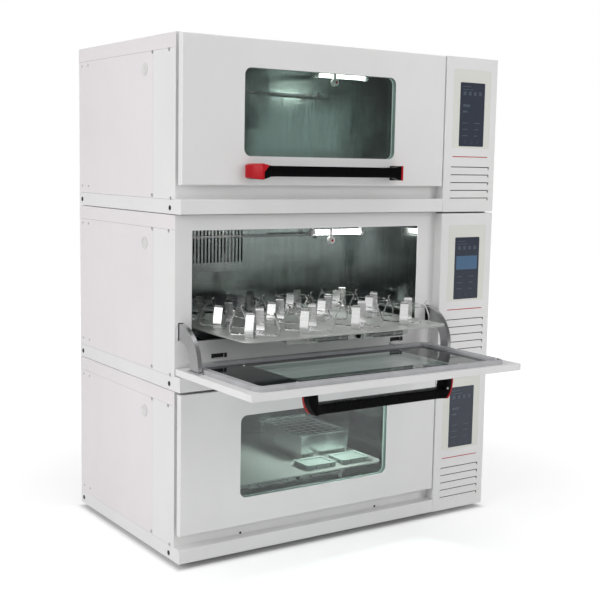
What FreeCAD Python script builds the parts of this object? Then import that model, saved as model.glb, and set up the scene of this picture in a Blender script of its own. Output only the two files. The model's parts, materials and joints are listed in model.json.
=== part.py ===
import FreeCAD, Part
import math
import os

# Stack of three incubated benchtop shakers, modelled in millimetres with +Z up.
# Every piece is first drawn in cabinet coordinates: X from the left side to the right,
# Y from the front jamb towards the back, Z from the underside of the lowest module.
# At the end it is moved so that the origin lies on the floor, in the middle of the footprint.

# Cabinet
module_count = 3
cabinet_width = 1100.0
cabinet_depth = 630.0
module_pitch = 470.0
front_proud = 32.0
sheet = 1.5
skin_bend = 3.0
seam = 0.5
stack_gap = 2.0
base_height = 40.0
beam_height = 42.0
deck_height = 39.0
overrun = 5.0

# Control column, at the right of the door
column_left = 892.0
column_top_gap = 3.0
column_front_sheet = 2.0
column_return = 128.0
fascia_left = 30.0
fascia_width = 151.0
fascia_bottom = 195.0
fascia_height = 236.0
fascia_depth = 0.6
fascia_corner = 6.0
screen_left = 57.0
screen_width = 100.0
screen_bottom = 201.0
screen_height = 192.0
screen_corner = 3.0
screen_depth = 9.0
screen_clearance = 0.2
screen_lip = 4.0
screen_lip_thickness = 1.2
louvre_count = 5
louvre_left = 29.0
louvre_width = 156.0
louvre_first = 45.0
louvre_pitch = 23.6
louvre_rise = 11.0
louvre_depth = 8.0
louvre_sheet = 1.2

# Front frame and chamber
opening_left = 51.0
opening_right = 824.0
opening_bottom = 132.0
opening_top = 429.0
frame_right = 893.5
frame_return = 128.0
chamber_sheet = 1.2
chamber_left = 45.0
chamber_right = 830.0
chamber_floor = 108.0
chamber_ceiling = 435.0
chamber_back = 600.0
chamber_corner = 14.0
floor_hole_radius = 30.0

# Door, drawn closed
door_left = 2.0
door_right = 888.0
door_bottom = 79.0
door_top = 466.0
door_thickness = 19.0
door_sheet = 1.5
door_edge_round = 3.0
window_left = 189.0
window_right = 700.0
window_bottom = 157.0
window_top = 390.0
window_corner = 20.0
outer_pane = 4.0
outer_pane_overlap = 12.0
inner_pane = 4.0
seal_left = 28.0
seal_right = 848.0
seal_bottom = 90.0
seal_top = 452.0
seal_band = 22.0
seal_gap = 0.3
seal_corner = 30.0
seal_groove = 7.0
seal_groove_depth = 5.0
pane_seal_gap = 5.0
pane_corner = 6.0

# Door hinges: a lower pivot for a drop-down door and an upper one for a lift-up door
lower_pivot = 76.0
upper_pivot = 458.0
hinge_left = 112.0
hinge_width = 49.0
hinge_radius = 5.0
hinge_pin_radius = 2.5
hinge_running = 0.08
hinge_side_play = 0.3
hinge_ear = 8.0
hinge_slot_rise = 18.0
hinge_slot_play = 1.5
hinge_bracket_land = 3.0
hinge_bracket_back = 9.0
hinge_pocket_back = 6.2
hinge_arm_offset = 0.5
hinge_arm_grip = 5.0
hinge_seal_play = 0.8
door_swing = 90.0

# Quarter-ring door stays, concentric with the pivot
stay_inner = 63.0
stay_outer = 107.0
stay_sheet = 3.0
stay_rim_width = 12.0
stay_left = 12.5
stay_tail_angle = 2.5
stay_slot_play = 2.0
stay_foot_height = 5.0
stay_foot_side = 4.0
stay_foot_reach = 6.0

# Handle, a D-shaped loop with red ends
handle_left = 175.0
handle_right = 705.0
handle_edge_inset = 17.0
handle_root_height = 42.0
handle_bar_height = 27.0
handle_projection = 57.0
handle_bar_depth = 28.0
handle_slant = 45.0
handle_bulge = 7.0
handle_leg_width = 48.0
handle_inner_slant = 22.0
handle_flare = 70.0
handle_cap = 7.0

# Orbital drive under the chamber floor
drive_x = 440.0
drive_throw = 13.0
drive_pin_y = 332.0
idler_spacing = 210.0
drive_plate_width = 620.0
drive_plate_depth = 300.0
drive_plate_thickness = 8.0
drive_plate_corner = 20.0
stator_radius = 62.0
stator_top = 60.0
stator_fin_count = 16
stator_fin_depth = 5.0
stator_fin_width = 4.0
shaft_radius = 12.5
shaft_clearance = 0.05
shaft_foot_gap = 0.3
bearing_radius = 30.0
bearing_boss_radius = 40.0
bearing_boss_height = 10.0
flange_gap = 2.0
flange_radius = 28.0
flange_height = 10.0
counterweight_radius = 58.0
counterweight_height = 16.0
idler_weight_radius = 40.0
crank_pin_radius = 10.0
crank_pin_top = 121.0
crank_clearance = 0.05
idler_clearance = 0.3

# Orbiting carriage with its slide rails
carriage_bottom = 112.0
carriage_plate = 4.0
carriage_width = 560.0
carriage_front_gap = 2.0
carriage_back = 572.0
carriage_window_width = 90.0
carriage_window_depth = 130.0
carriage_hub_radius = 26.0
carriage_hub_height = 12.0
rail_spacing = 400.0
rail_width = 16.0
rail_top = 149.0
rail_slot_bottom = 137.0
rail_slot_top = 146.5
rail_slot_depth = 12.0
runner_play = 0.3
runner_web = 3.0
runner_setback = 10.0

# Tray
tray_width = 684.0
tray_depth = 500.0
tray_front_closed = 82.0
tray_travel = 287.0
tray_top = 156.0
tray_plate = 4.0
tray_corner = 35.0
apron_half_width = 205.0
apron_bottom = 136.5
apron_sheet = 3.0
apron_setback = 22.0
loop_offset = 94.0
loop_length = 110.0
loop_radius = 2.5
loop_drop = 9.0
loop_standoff = 16.0
knob_radius = 6.8
knob_length = 7.0

# Flask clamps on the middle tray
clamp_columns = 4
clamp_rows = 3
clamp_pitch_x = 172.0
clamp_pitch_y = 166.0
clamp_first_row = 96.0
flask_base_radius = 65.5
clamp_arm_width = 28.0
clamp_first_angle = 45.0
clamp_sheet = 1.4
clamp_height = 78.0
clamp_knee_share = 0.30
clamp_lean = 26.0
clamp_lip = 6.0
clamp_spring_radius = 1.8
clamp_spring_inset = 9.0

# Tube rack and plate holders on the lowest tray
rack_left = 545.0
rack_front = 218.0
rack_width = 180.0
rack_depth = 235.0
rack_height = 52.0
rack_sheet = 1.5
rack_rim = 2.4
rack_corner = 8.0
holder_width = 108.0
holder_depth = 84.0
holder_height = 15.0
holder_corner = 10.0
holder_notch = 13.0
holder_notch_depth = 6.0
holder_notch_shares = (0.25, 0.75)
holder_gap = 22.0
holder_pocket_margin = 12.0
holder_pocket_depth = 3.0
holder_front = 24.0

# Air circulation at the back of the chamber
duct_left = 240.0
duct_width = 400.0
duct_bottom = 252.0
duct_top = 424.0
duct_front = 566.0
duct_sheet = 1.2
duct_slot_count = 17
duct_slot_width = 6.0
duct_slot_pitch = 13.0
duct_slot_height = 110.0
duct_outlet_count = 4
duct_outlet_width = 70.0
duct_outlet_height = 5.0
fan_radius = 62.0
fan_back_plate = 1.5
fan_blade_count = 8
fan_blade_height = 14.0
fan_blade_sheet = 2.0
fan_blade_lean = 35.0
fan_hub_radius = 14.0
fan_shaft_radius = 4.0
fan_back_gap = 4.0
fan_blade_inner = 30.0
fan_wall_hole = 6.0
fan_motor_radius = 38.0
fan_motor_length = 24.0
fan_motor_bore_depth = 16.0

heater_offset = 74.0
heater_length = 110.0
heater_tube_radius = 4.0
heater_post_radius = 2.5
heater_post_inset = 12.0
heater_standoff = 14.0

# Chamber lamp and sensor
lamp_left = 560.0
lamp_length = 170.0
lamp_y = 170.0
lamp_radius = 8.0
lamp_drop = 30.0
lamp_socket_length = 14.0
lamp_socket_radius = 11.0
lamp_socket_stem = 9.0

sensor_x = 606.0
sensor_y = 140.0
sensor_drop = 53.0
sensor_radius = 11.0
sensor_length = 12.0
sensor_nose_radius = 4.5
sensor_nose_length = 3.0

# Service panels, feet and small hardware
panel_vent_count = 8
panel_vent_length = 150.0
panel_vent_height = 5.0
panel_vent_pitch = 14.0
panel_vent_bottom = 80.0
back_seam_inset = 3.0
inlet_x = 1010.0
inlet_z = 80.0
inlet_width = 27.0
inlet_height = 20.0
inlet_depth = 22.0
inlet_flange = 6.0
inlet_flange_thickness = 2.5
inlet_clearance = 0.3
socket_wall = 2.5
socket_depth = 15.0
port_y = 178.0
port_z = 385.0
port_radius = 17.5
port_proud = 2.0
port_hole_radius = 12.0
port_plug_play = 0.3
port_plug_length = 10.0
port_dish = 1.0
foot_radius = 24.0
foot_neck_radius = 15.0
foot_height = 11.0
foot_neck = 4.0
foot_inset = 45.0
pad_side = 26.0
pad_height = 2.0

# Values that follow from the ones above
shaft_y = drive_pin_y - drive_throw
carriage_front = tray_front_closed + apron_setback + apron_sheet + carriage_front_gap
idler_x = drive_x + idler_spacing
drive_floor = sheet + stack_gap
drive_plate_top = drive_floor + drive_plate_thickness
seal_face = -seal_gap
door_inner = door_thickness - front_proud
door_liner = door_inner - door_sheet
open_reach = door_top - lower_pivot
back_reach = cabinet_depth + inlet_flange_thickness
middle_module = 1
top_module = 2


def vec(x, y, z):
    """A point or direction in cabinet coordinates."""
    return FreeCAD.Vector(x, y, z)


def block(x0, x1, y0, y1, z0, z1):
    """A box between two corners."""
    return Part.makeBox(x1 - x0, y1 - y0, z1 - z0, vec(x0, y0, z0))


def rod(radius, start, end):
    """A round bar between two points."""
    along = end.sub(start)
    return Part.makeCylinder(radius, along.Length, start, along)


def hex_rod(radius, start, end):
    """A six-sided bar between two points, two of its flats level."""
    along = end.sub(start)
    across = vec(-along.y, along.x, 0) if abs(along.z) < along.Length / 2 else vec(1, 0, 0)
    across.normalize()
    up = along.cross(across)
    up.normalize()
    corners = []
    for index in range(6):
        angle = 2 * math.pi * index / 6
        corners.append(start.add(across * (radius * math.cos(angle))).add(up * (radius * math.sin(angle))))
    return prism(corners, along)


def prism(points, direction):
    """A polygon swept along a straight direction."""
    wire = Part.makePolygon(points + [points[0]])
    return Part.Face(wire).extrude(direction)


def rounded_outline(u0, u1, v0, v1, radius, place):
    """A closed wire round a rectangle with arcs at its corners; place turns (u, v) into a point."""
    diagonal = radius * (1 - math.cos(math.radians(45)))
    corners = [
        ((u1 - radius, v0), (u1 - diagonal, v0 + diagonal), (u1, v0 + radius)),
        ((u1, v1 - radius), (u1 - diagonal, v1 - diagonal), (u1 - radius, v1)),
        ((u0 + radius, v1), (u0 + diagonal, v1 - diagonal), (u0, v1 - radius)),
        ((u0, v0 + radius), (u0 + diagonal, v0 + diagonal), (u0 + radius, v0)),
    ]
    edges = []
    last = corners[-1][2]
    for start, middle, end in corners:
        edges.append(Part.LineSegment(place(*last), place(*start)).toShape())
        edges.append(Part.Arc(place(*start), place(*middle), place(*end)).toShape())
        last = end
    return Part.Wire(edges)


def upright_slab(x0, x1, z0, z1, radius, y0, y1):
    """A slab standing across Y with rounded corners in the X-Z plane."""
    wire = rounded_outline(x0, x1, z0, z1, radius, lambda u, v: vec(u, y0, v))
    return Part.Face(wire).extrude(vec(0, y1 - y0, 0))


def flat_slab(x0, x1, y0, y1, radius, z0, z1):
    """A slab lying across Z with rounded corners in the X-Y plane."""
    wire = rounded_outline(x0, x1, y0, y1, radius, lambda u, v: vec(u, v, z0))
    return Part.Face(wire).extrude(vec(0, 0, z1 - z0))


def edges_along(shape, direction, test):
    """The straight edges of a shape that run along a direction and pass a test on their middle."""
    found = []
    for edge in shape.Edges:
        if not isinstance(edge.Curve, Part.Line):
            continue
        if abs(abs(edge.Curve.Direction.dot(direction)) - 1) > 1e-6:
            continue
        if test(edge.CenterOfMass):
            found.append(edge)
    return found


def group(shapes):
    """Separate solids that share one node."""
    return Part.makeCompound(shapes)


def raised(shape, module):
    """A copy of a shape drawn for the lowest module, lifted to another module."""
    copy = shape.copy()
    copy.translate(vec(0, 0, module * module_pitch))
    return copy


def base_pan():
    """Folded floor pan of a module with the beam across its front."""
    floor = stack_gap
    pan = block(0, cabinet_width, 0, cabinet_depth, floor, base_height)
    inside = block(sheet, cabinet_width - sheet, sheet, cabinet_depth - sheet,
                   floor + sheet, base_height + overrun)
    pan = pan.cut(inside)
    beam = block(0, column_left - seam, -front_proud, 0, floor, beam_height)
    front_edges = edges_along(beam, vec(1, 0, 0), lambda c: c.y < -front_proud / 2)
    beam = beam.makeFillet(skin_bend, front_edges)
    hollow = block(sheet, column_left - seam - sheet, -front_proud + sheet, -sheet,
                   floor - overrun, beam_height - sheet)
    return pan.fuse(beam.cut(hollow)).removeSplitter()


def top_deck():
    """Folded top cover of a module."""
    top = module_pitch
    bottom = top - deck_height
    cover = block(0, cabinet_width, sheet, cabinet_depth, bottom, top)
    crown = edges_along(cover, vec(0, 1, 0), lambda c: c.z > bottom + deck_height / 2)
    cover = cover.makeFillet(skin_bend, crown)
    inside = block(sheet, cabinet_width - sheet, sheet - overrun, cabinet_depth - sheet,
                   bottom - overrun, top - sheet)
    return cover.cut(inside)


def pivot_height(lift_up):
    """Height of the door's pivot in its module."""
    return upper_pivot if lift_up else lower_pivot


def toward_door(lift_up):
    """The direction from the pivot to the middle of the closed door: up or down."""
    return -1 if lift_up else 1


def span(first, second):
    """Two heights in rising order."""
    return (min(first, second), max(first, second))


def hinge_starts():
    """Left edges of the two hinges of a door."""
    return (hinge_left, door_left + door_right - hinge_left - hinge_width)


def stay_starts():
    """Left edge of each stay's web, and the side its rim turns to."""
    return ((stay_left, 1), (door_left + door_right - stay_left, -1))


def hinge_slot(pivot, side):
    """Lower and upper edge of the slot in the front sheet that a hinge works through."""
    return span(pivot - side * (hinge_radius + hinge_slot_play), pivot + side * hinge_slot_rise)


def hinge_bracket(start, pivot, side):
    """Fixed half of a hinge: a relieved block behind the sheet, two ears and the pin."""
    end = start + hinge_width
    axis = vec(start, 0, pivot)
    tip = vec(end, 0, pivot)
    slot_low, slot_high = hinge_slot(pivot, side)
    low = slot_low - hinge_bracket_land
    high = slot_high + hinge_bracket_land
    side_land = hinge_bracket_land
    body = block(start - side_land, end + side_land, sheet, hinge_bracket_back, low, high)
    body = body.fuse(rod(hinge_radius, axis, tip))
    pocket = block(start + hinge_ear, end - hinge_ear, -overrun - hinge_radius, hinge_pocket_back,
                   low - overrun, high + overrun)
    body = body.cut(pocket)
    return body.fuse(rod(hinge_pin_radius, axis, tip)).removeSplitter()


def front_frame(lift_up):
    """Front sheet with the chamber opening, the stay slots, the hinge brackets and the left return."""
    pivot = pivot_height(lift_up)
    side = toward_door(lift_up)
    low = base_height + seam
    plate = block(0, frame_right, 0, sheet, low, module_pitch - seam)
    side_top = module_pitch - deck_height - seam
    wrap = block(0, sheet, 0, frame_return - seam, low, side_top)
    frame = plate.fuse(wrap)
    bend = edges_along(frame, vec(0, 0, 1), lambda c: c.x < sheet / 2 and c.y < sheet / 2)
    frame = frame.makeFillet(sheet / 2, bend)
    frame = frame.cut(block(opening_left, opening_right, -overrun, sheet + overrun,
                            opening_bottom, opening_top))
    for start in hinge_starts():
        z0, z1 = hinge_slot(pivot, side)
        frame = frame.cut(block(start, start + hinge_width, -overrun, sheet + overrun, z0, z1))
    for start, turn in stay_starts():
        x0, x1 = span(start - turn * stay_slot_play, start + turn * (stay_rim_width + stay_slot_play))
        z0, z1 = span(pivot + side * (stay_inner - stay_slot_play),
                      pivot + side * (stay_outer + stay_slot_play))
        frame = frame.cut(block(x0, x1, -overrun, sheet + overrun, z0, z1))
    for start in hinge_starts():
        frame = frame.fuse(hinge_bracket(start, pivot, side))
    return frame.removeSplitter()


def chamber():
    """Polished liner: a box open at the front, with holes for the crank pins and the fan shaft."""
    outer = block(chamber_left, chamber_right, sheet, chamber_back, chamber_floor, chamber_ceiling)
    along = edges_along(outer, vec(0, 1, 0), lambda c: True)
    outer = outer.makeFillet(chamber_corner + chamber_sheet, along)
    inner = block(chamber_left + chamber_sheet, chamber_right - chamber_sheet,
                  sheet - overrun, chamber_back - chamber_sheet,
                  chamber_floor + chamber_sheet, chamber_ceiling - chamber_sheet)
    inner = inner.makeFillet(chamber_corner, edges_along(inner, vec(0, 1, 0), lambda c: True))
    liner = outer.cut(inner)
    for x in (drive_x, idler_x):
        liner = liner.cut(rod(floor_hole_radius, vec(x, shaft_y, chamber_floor - overrun),
                              vec(x, shaft_y, chamber_floor + chamber_sheet + overrun)))
    middle = fan_centre()
    back = vec(middle.x, chamber_back - chamber_sheet - overrun, middle.z)
    return liner.cut(rod(fan_wall_hole, back, back.add(vec(0, chamber_sheet + 2 * overrun, 0))))


def louvre_cut(z_top):
    """The wedge of air in front of one pressed louvre."""
    face = -front_proud
    x0 = column_left + louvre_left
    outline = [vec(x0, face - overrun, z_top - louvre_rise), vec(x0, face, z_top - louvre_rise),
               vec(x0, face + louvre_depth, z_top), vec(x0, face - overrun, z_top)]
    return prism(outline, vec(louvre_width, 0, 0))


def louvre_plate(z_top):
    """The sloping sheet behind one louvre, with a cheek at each end."""
    face = -front_proud
    x0 = column_left + louvre_left
    x1 = x0 + louvre_width
    foot = z_top - louvre_rise
    rise = louvre_sheet * louvre_rise / louvre_depth
    outline = [vec(x0 - louvre_sheet, face, foot), vec(x0 - louvre_sheet, face + louvre_depth, z_top),
               vec(x0 - louvre_sheet, face + louvre_depth, z_top - rise),
               vec(x0 - louvre_sheet, face + louvre_sheet, foot - rise),
               vec(x0 - louvre_sheet, face, foot - rise)]
    ramp = prism(outline, vec(louvre_width + 2 * louvre_sheet, 0, 0))
    cheek = [vec(x0 - louvre_sheet, face, foot), vec(x0 - louvre_sheet, face + louvre_depth, z_top),
             vec(x0 - louvre_sheet, face, z_top)]
    left = prism(cheek, vec(louvre_sheet, 0, 0))
    right = left.copy()
    right.translate(vec(x1 - x0 + louvre_sheet, 0, 0))
    return ramp.fuse([left, right])


def control_column():
    """Folded casing at the right of the door, with the screen cut-out and the louvres."""
    face = -front_proud
    top = module_pitch - column_top_gap
    bottom = stack_gap
    casing = block(column_left, cabinet_width, face, 0, bottom, top)
    bends = edges_along(casing, vec(0, 0, 1), lambda c: c.y < face / 2)
    casing = casing.makeFillet(skin_bend, bends)
    hollow = block(column_left + sheet, cabinet_width - sheet, face + column_front_sheet, overrun,
                   bottom + sheet, top - sheet)
    casing = casing.cut(hollow)
    side = block(cabinet_width - sheet, cabinet_width, 0, column_return - seam,
                 base_height + seam, module_pitch - deck_height - seam)
    fascia_x = column_left + fascia_left
    pocket = upright_slab(fascia_x, fascia_x + fascia_width, fascia_bottom, fascia_bottom + fascia_height,
                          fascia_corner, face - overrun, face + fascia_depth)
    screen_x = column_left + screen_left
    cutout = upright_slab(screen_x, screen_x + screen_width, screen_bottom, screen_bottom + screen_height,
                          screen_corner, face - overrun, face + column_front_sheet + overrun)
    casing = casing.fuse(side).cut(pocket).cut(cutout)
    for index in range(louvre_count):
        z_top = louvre_first + index * louvre_pitch
        casing = casing.cut(louvre_cut(z_top)).fuse(louvre_plate(z_top))
    return casing.removeSplitter()


def touchscreen():
    """Touch panel that fills the cut-out and rests on its lip behind the sheet."""
    face = -front_proud
    x0 = column_left + screen_left
    inner = face + column_front_sheet
    glass = upright_slab(x0 + screen_clearance, x0 + screen_width - screen_clearance,
                         screen_bottom + screen_clearance, screen_bottom + screen_height - screen_clearance,
                         screen_corner - screen_clearance, face, inner + screen_depth)
    lip = block(x0 - screen_lip, x0 + screen_width + screen_lip, inner, inner + screen_lip_thickness,
                screen_bottom - screen_lip, screen_bottom + screen_height + screen_lip)
    return glass.fuse(lip)


def door_knuckle(start, pivot, side, seal_edge):
    """Moving half of a hinge: the tube round the pin and the arm to the door."""
    x0 = start + hinge_ear + hinge_side_play
    x1 = start + hinge_width - hinge_ear - hinge_side_play
    z_low = pivot + side * hinge_arm_offset
    z0, z1 = span(z_low, seal_edge)
    arm = block(x0, x1, door_inner, 0, z0, z1)
    tube = rod(hinge_radius, vec(x0, 0, pivot), vec(x1, 0, pivot))
    bore = rod(hinge_pin_radius + hinge_running, vec(x0 - overrun, 0, pivot), vec(x1 + overrun, 0, pivot))
    return tube.fuse(arm).cut(bore)


def arm_edge(lift_up):
    """Where a hinge arm ends on the door, short of the seal."""
    if lift_up:
        return seal_top + hinge_seal_play
    return door_bottom + hinge_arm_grip


def door_pan(lift_up):
    """Folded outer pan and flat inner sheet of a door, with the window and the hinge knuckles."""
    face = -front_proud
    pan = block(door_left, door_right, face, door_liner, door_bottom, door_top)
    front = edges_along(pan, vec(1, 0, 0), lambda c: c.y < face / 2 and c.y < door_liner - sheet)
    sides = edges_along(pan, vec(0, 0, 1), lambda c: c.y < door_liner - sheet)
    pan = pan.makeFillet(door_edge_round, front + sides)
    hollow = block(door_left + door_sheet, door_right - door_sheet, face + door_sheet, door_liner + overrun,
                   door_bottom + door_sheet, door_top - door_sheet)
    window = upright_slab(window_left, window_right, window_bottom, window_top, window_corner,
                          face - overrun, overrun)
    inner = block(door_left, door_right, door_liner, door_inner, door_bottom, door_top)
    pivot = pivot_height(lift_up)
    side = toward_door(lift_up)
    liner = inner.cut(window)
    for start in hinge_starts():
        liner = liner.fuse(door_knuckle(start, pivot, side, arm_edge(lift_up)))
    return group([pan.cut(hollow).cut(window), liner.removeSplitter()])


def door_glass():
    """Outer pane behind the window and the larger inner pane inside the seal."""
    outer_y = door_sheet - front_proud
    extra = outer_pane_overlap
    outer = upright_slab(window_left - extra, window_right + extra, window_bottom - extra,
                         window_top + extra, window_corner + extra, outer_y, outer_y + outer_pane)
    margin = seal_band + pane_seal_gap
    inner = upright_slab(seal_left + margin, seal_right - margin, seal_bottom + margin, seal_top - margin,
                         pane_corner, door_inner, door_inner + inner_pane)
    return group([outer, inner])


def door_gasket():
    """Soft seal frame with a groove along its face."""
    ring = upright_slab(seal_left, seal_right, seal_bottom, seal_top, seal_corner, door_inner, seal_face)
    hole = upright_slab(seal_left + seal_band, seal_right - seal_band, seal_bottom + seal_band,
                        seal_top - seal_band, seal_corner - seal_band, door_inner - overrun, overrun)
    inset = (seal_band - seal_groove) / 2
    groove_floor = seal_face - seal_groove_depth
    groove = upright_slab(seal_left + inset, seal_right - inset, seal_bottom + inset, seal_top - inset,
                          seal_corner - inset, groove_floor, overrun)
    core_inset = inset + seal_groove
    core = upright_slab(seal_left + core_inset, seal_right - core_inset, seal_bottom + core_inset,
                        seal_top - core_inset, seal_corner - core_inset, groove_floor - overrun, 2 * overrun)
    return ring.cut(hole).cut(groove.cut(core))


def ring_sector(inner, outer, x0, x1, pivot, side, tail):
    """A quarter ring about the pivot, from the door into the cabinet, with a short tail."""
    def at(radius, angle):
        turn = math.radians(angle)
        return vec(x0, radius * math.cos(turn), pivot + side * radius * math.sin(turn))
    last = -tail
    middle = (door_swing + last) / 2
    edges = [
        Part.LineSegment(vec(x0, door_inner, pivot + side * inner), at(inner, door_swing)).toShape(),
        Part.Arc(at(inner, door_swing), at(inner, middle), at(inner, last)).toShape(),
        Part.LineSegment(at(inner, last), at(outer, last)).toShape(),
        Part.Arc(at(outer, last), at(outer, middle), at(outer, door_swing)).toShape(),
        Part.LineSegment(at(outer, door_swing), vec(x0, door_inner, pivot + side * outer)).toShape(),
        Part.LineSegment(vec(x0, door_inner, pivot + side * outer),
                         vec(x0, door_inner, pivot + side * inner)).toShape(),
    ]
    return Part.Face(Part.Wire(edges)).extrude(vec(x1 - x0, 0, 0))


def door_stays(lift_up):
    """The two quarter-ring stays of a door, with their rims and feet."""
    pivot = pivot_height(lift_up)
    side = toward_door(lift_up)
    stays = []
    for start, turn in stay_starts():
        x0, x1 = span(start, start + turn * stay_sheet)
        web = ring_sector(stay_inner, stay_outer, x0, x1, pivot, side, stay_tail_angle)
        r0, r1 = span(start, start + turn * stay_rim_width)
        rim = ring_sector(stay_outer - stay_sheet, stay_outer, r0, r1, pivot, side, stay_tail_angle)
        f0, f1 = span(start - turn * stay_foot_side, start + turn * stay_rim_width)
        z0, z1 = span(pivot + side * (stay_inner - stay_foot_reach),
                      pivot + side * (stay_outer + stay_foot_reach))
        foot = block(f0, f1, door_inner, door_inner + stay_foot_height, z0, z1)
        stays.append(web.fuse([rim, foot]).removeSplitter())
    return group(stays)


def handle_plan(inset):
    """Top view of the handle loop; inset draws its ends in by the thickness of the red caps."""
    x0 = handle_left + inset
    x1 = handle_right - inset
    root = -front_proud
    tip = root - handle_projection
    inner = tip + handle_bar_depth
    mid = (root + tip) / 2

    belly = handle_slant / 2 - handle_bulge
    grip_left = handle_left + handle_leg_width
    grip_right = handle_right - handle_leg_width

    def at(x, y):
        return vec(x, y, 0)
    left_end = Part.Arc(at(x0, root), at(x0 + belly, mid), at(x0 + handle_slant, tip))
    right_end = Part.Arc(at(x1 - handle_slant, tip), at(x1 - belly, mid), at(x1, root))
    corners = [at(x1, root), at(grip_right, root), at(grip_right - handle_inner_slant, inner),
               at(grip_left + handle_inner_slant, inner), at(grip_left, root), at(x0, root)]
    edges = [left_end.toShape(),
             Part.LineSegment(at(x0 + handle_slant, tip), at(x1 - handle_slant, tip)).toShape(),
             right_end.toShape()]
    for start, end in zip(corners, corners[1:]):
        edges.append(Part.LineSegment(start, end).toShape())
    return Part.Wire(edges)


def handle_loop(lift_up, inset):
    """The whole handle: its plan and its front outline, both cut square and joined."""
    root_half = handle_root_height / 2
    if lift_up:
        outer_edge = door_bottom + handle_edge_inset
        z0, z1 = outer_edge, outer_edge + handle_root_height
        b0, b1 = z1 - handle_bar_height, z1
    else:
        outer_edge = door_top - handle_edge_inset
        z0, z1 = outer_edge - handle_root_height, outer_edge
        b0, b1 = z0, z0 + handle_bar_height
    plan = Part.Face(handle_plan(inset))
    plan.translate(vec(0, 0, z0))
    solid = plan.extrude(vec(0, 0, handle_root_height))
    deep = -front_proud - handle_projection - overrun

    def front(x, z):
        return vec(x, deep, z)
    near_low = b0 if b0 > z0 else z0
    near_high = b1 if b1 < z1 else z1
    waist = handle_left + handle_flare
    far_waist = handle_right - handle_flare
    outline = [front(handle_left, z0), front(handle_left + root_half, z0), front(waist, near_low),
               front(far_waist, near_low), front(handle_right - root_half, z0), front(handle_right, z0),
               front(handle_right, z1), front(handle_right - root_half, z1), front(far_waist, near_high),
               front(waist, near_high), front(handle_left + root_half, z1), front(handle_left, z1)]
    face = prism(outline, vec(0, handle_projection + 2 * overrun, 0))
    return solid.common(face)


def handle(lift_up):
    """Black part of the handle loop."""
    body = handle_loop(lift_up, 0)
    return body.common(handle_loop(lift_up, handle_cap)).removeSplitter()


def handle_caps(lift_up):
    """Red skins on the two slanting ends of the handle."""
    return handle_loop(lift_up, 0).cut(handle_loop(lift_up, handle_cap))


def drive_base():
    """Steel plate on the pan with the pedestal of the idler."""
    x0 = drive_x - drive_plate_width / 2
    y0 = shaft_y - drive_plate_depth / 2
    plate = flat_slab(x0, x0 + drive_plate_width, y0, y0 + drive_plate_depth, drive_plate_corner,
                      drive_floor, drive_plate_top)
    foot = vec(idler_x, shaft_y, drive_plate_top)
    boss = rod(bearing_boss_radius, foot, foot.add(vec(0, 0, bearing_boss_height)))
    post = rod(bearing_radius, foot, vec(idler_x, shaft_y, stator_top))
    base = plate.fuse([boss, post])
    bore = rod(shaft_radius + shaft_clearance, foot, vec(idler_x, shaft_y, stator_top + overrun))
    return base.cut(bore).removeSplitter()


def fan_centre():
    """Centre of the fan on the back wall, in the lowest module."""
    return vec(duct_left + duct_width / 2, chamber_back, (duct_bottom + duct_top) / 2)


def stator():
    """Finned housing of the direct-drive motor, with the main shaft's bore."""
    foot = vec(drive_x, shaft_y, drive_plate_top)
    body = rod(stator_radius, foot, vec(drive_x, shaft_y, stator_top))
    body = body.cut(rod(shaft_radius + shaft_clearance, foot, vec(drive_x, shaft_y, stator_top + overrun)))
    for index in range(stator_fin_count):
        slot = block(stator_radius - stator_fin_depth, stator_radius + overrun, -stator_fin_width / 2,
                     stator_fin_width / 2, 0, stator_top)
        slot.rotate(vec(0, 0, 0), vec(0, 0, 1), index * 360.0 / stator_fin_count)
        slot.translate(vec(drive_x, shaft_y, drive_plate_top + stator_fin_depth))
        body = body.cut(slot)
    return body


def fan_motor():
    """Flat motor behind the chamber wall, bored for the fan shaft."""
    front = fan_centre()
    body = rod(fan_motor_radius, front, front.add(vec(0, fan_motor_length, 0)))
    bore = rod(fan_shaft_radius + shaft_clearance, front.sub(vec(0, overrun, 0)),
               front.add(vec(0, fan_motor_bore_depth, 0)))
    return body.cut(bore)


def motors():
    """The two motors of a module: one drives the tray, one the fan."""
    return [stator(), fan_motor()]


def eccentric(x, weight_radius, weight_height):
    """Vertical shaft with its flange, half-round counterweight and offset crank pin."""
    low = drive_plate_top + shaft_foot_gap
    flange_bottom = stator_top + flange_gap
    flange_top = flange_bottom + flange_height
    weight_top = flange_bottom + weight_height
    shaft = rod(shaft_radius, vec(x, shaft_y, low), vec(x, shaft_y, flange_top))
    flange = rod(flange_radius, vec(x, shaft_y, flange_bottom), vec(x, shaft_y, weight_top))
    weight = Part.makeCylinder(weight_radius, weight_height, vec(x, shaft_y, flange_bottom),
                               vec(0, 0, 1), 180)
    weight.rotate(vec(x, shaft_y, 0), vec(0, 0, 1), 180)
    pin = rod(crank_pin_radius, vec(x, drive_pin_y, flange_top), vec(x, drive_pin_y, crank_pin_top))
    return shaft.fuse([flange, weight, pin]).removeSplitter()


def drive_eccentric():
    """Eccentric that the motor turns."""
    return eccentric(drive_x, counterweight_radius, counterweight_height)


def idler_eccentric():
    """Second eccentric, which keeps the carriage square."""
    return eccentric(idler_x, idler_weight_radius, counterweight_height)


def slide_rail(x, side):
    """Channel rail along the carriage; side is the way its mouth opens."""
    x0, x1 = span(x, x + side * rail_width)
    body = block(x0, x1, carriage_front, carriage_back, carriage_bottom + carriage_plate, rail_top)
    s0, s1 = span(x + side * (rail_width - rail_slot_depth), x + side * (rail_width + overrun))
    slot = block(s0, s1, carriage_front - overrun, carriage_back + overrun, rail_slot_bottom, rail_slot_top)
    return body.cut(slot)


def rail_places():
    """Outer edge of each rail and the way its mouth opens."""
    half = rail_spacing / 2
    return ((drive_x - half, 1), (drive_x + half, -1))


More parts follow.
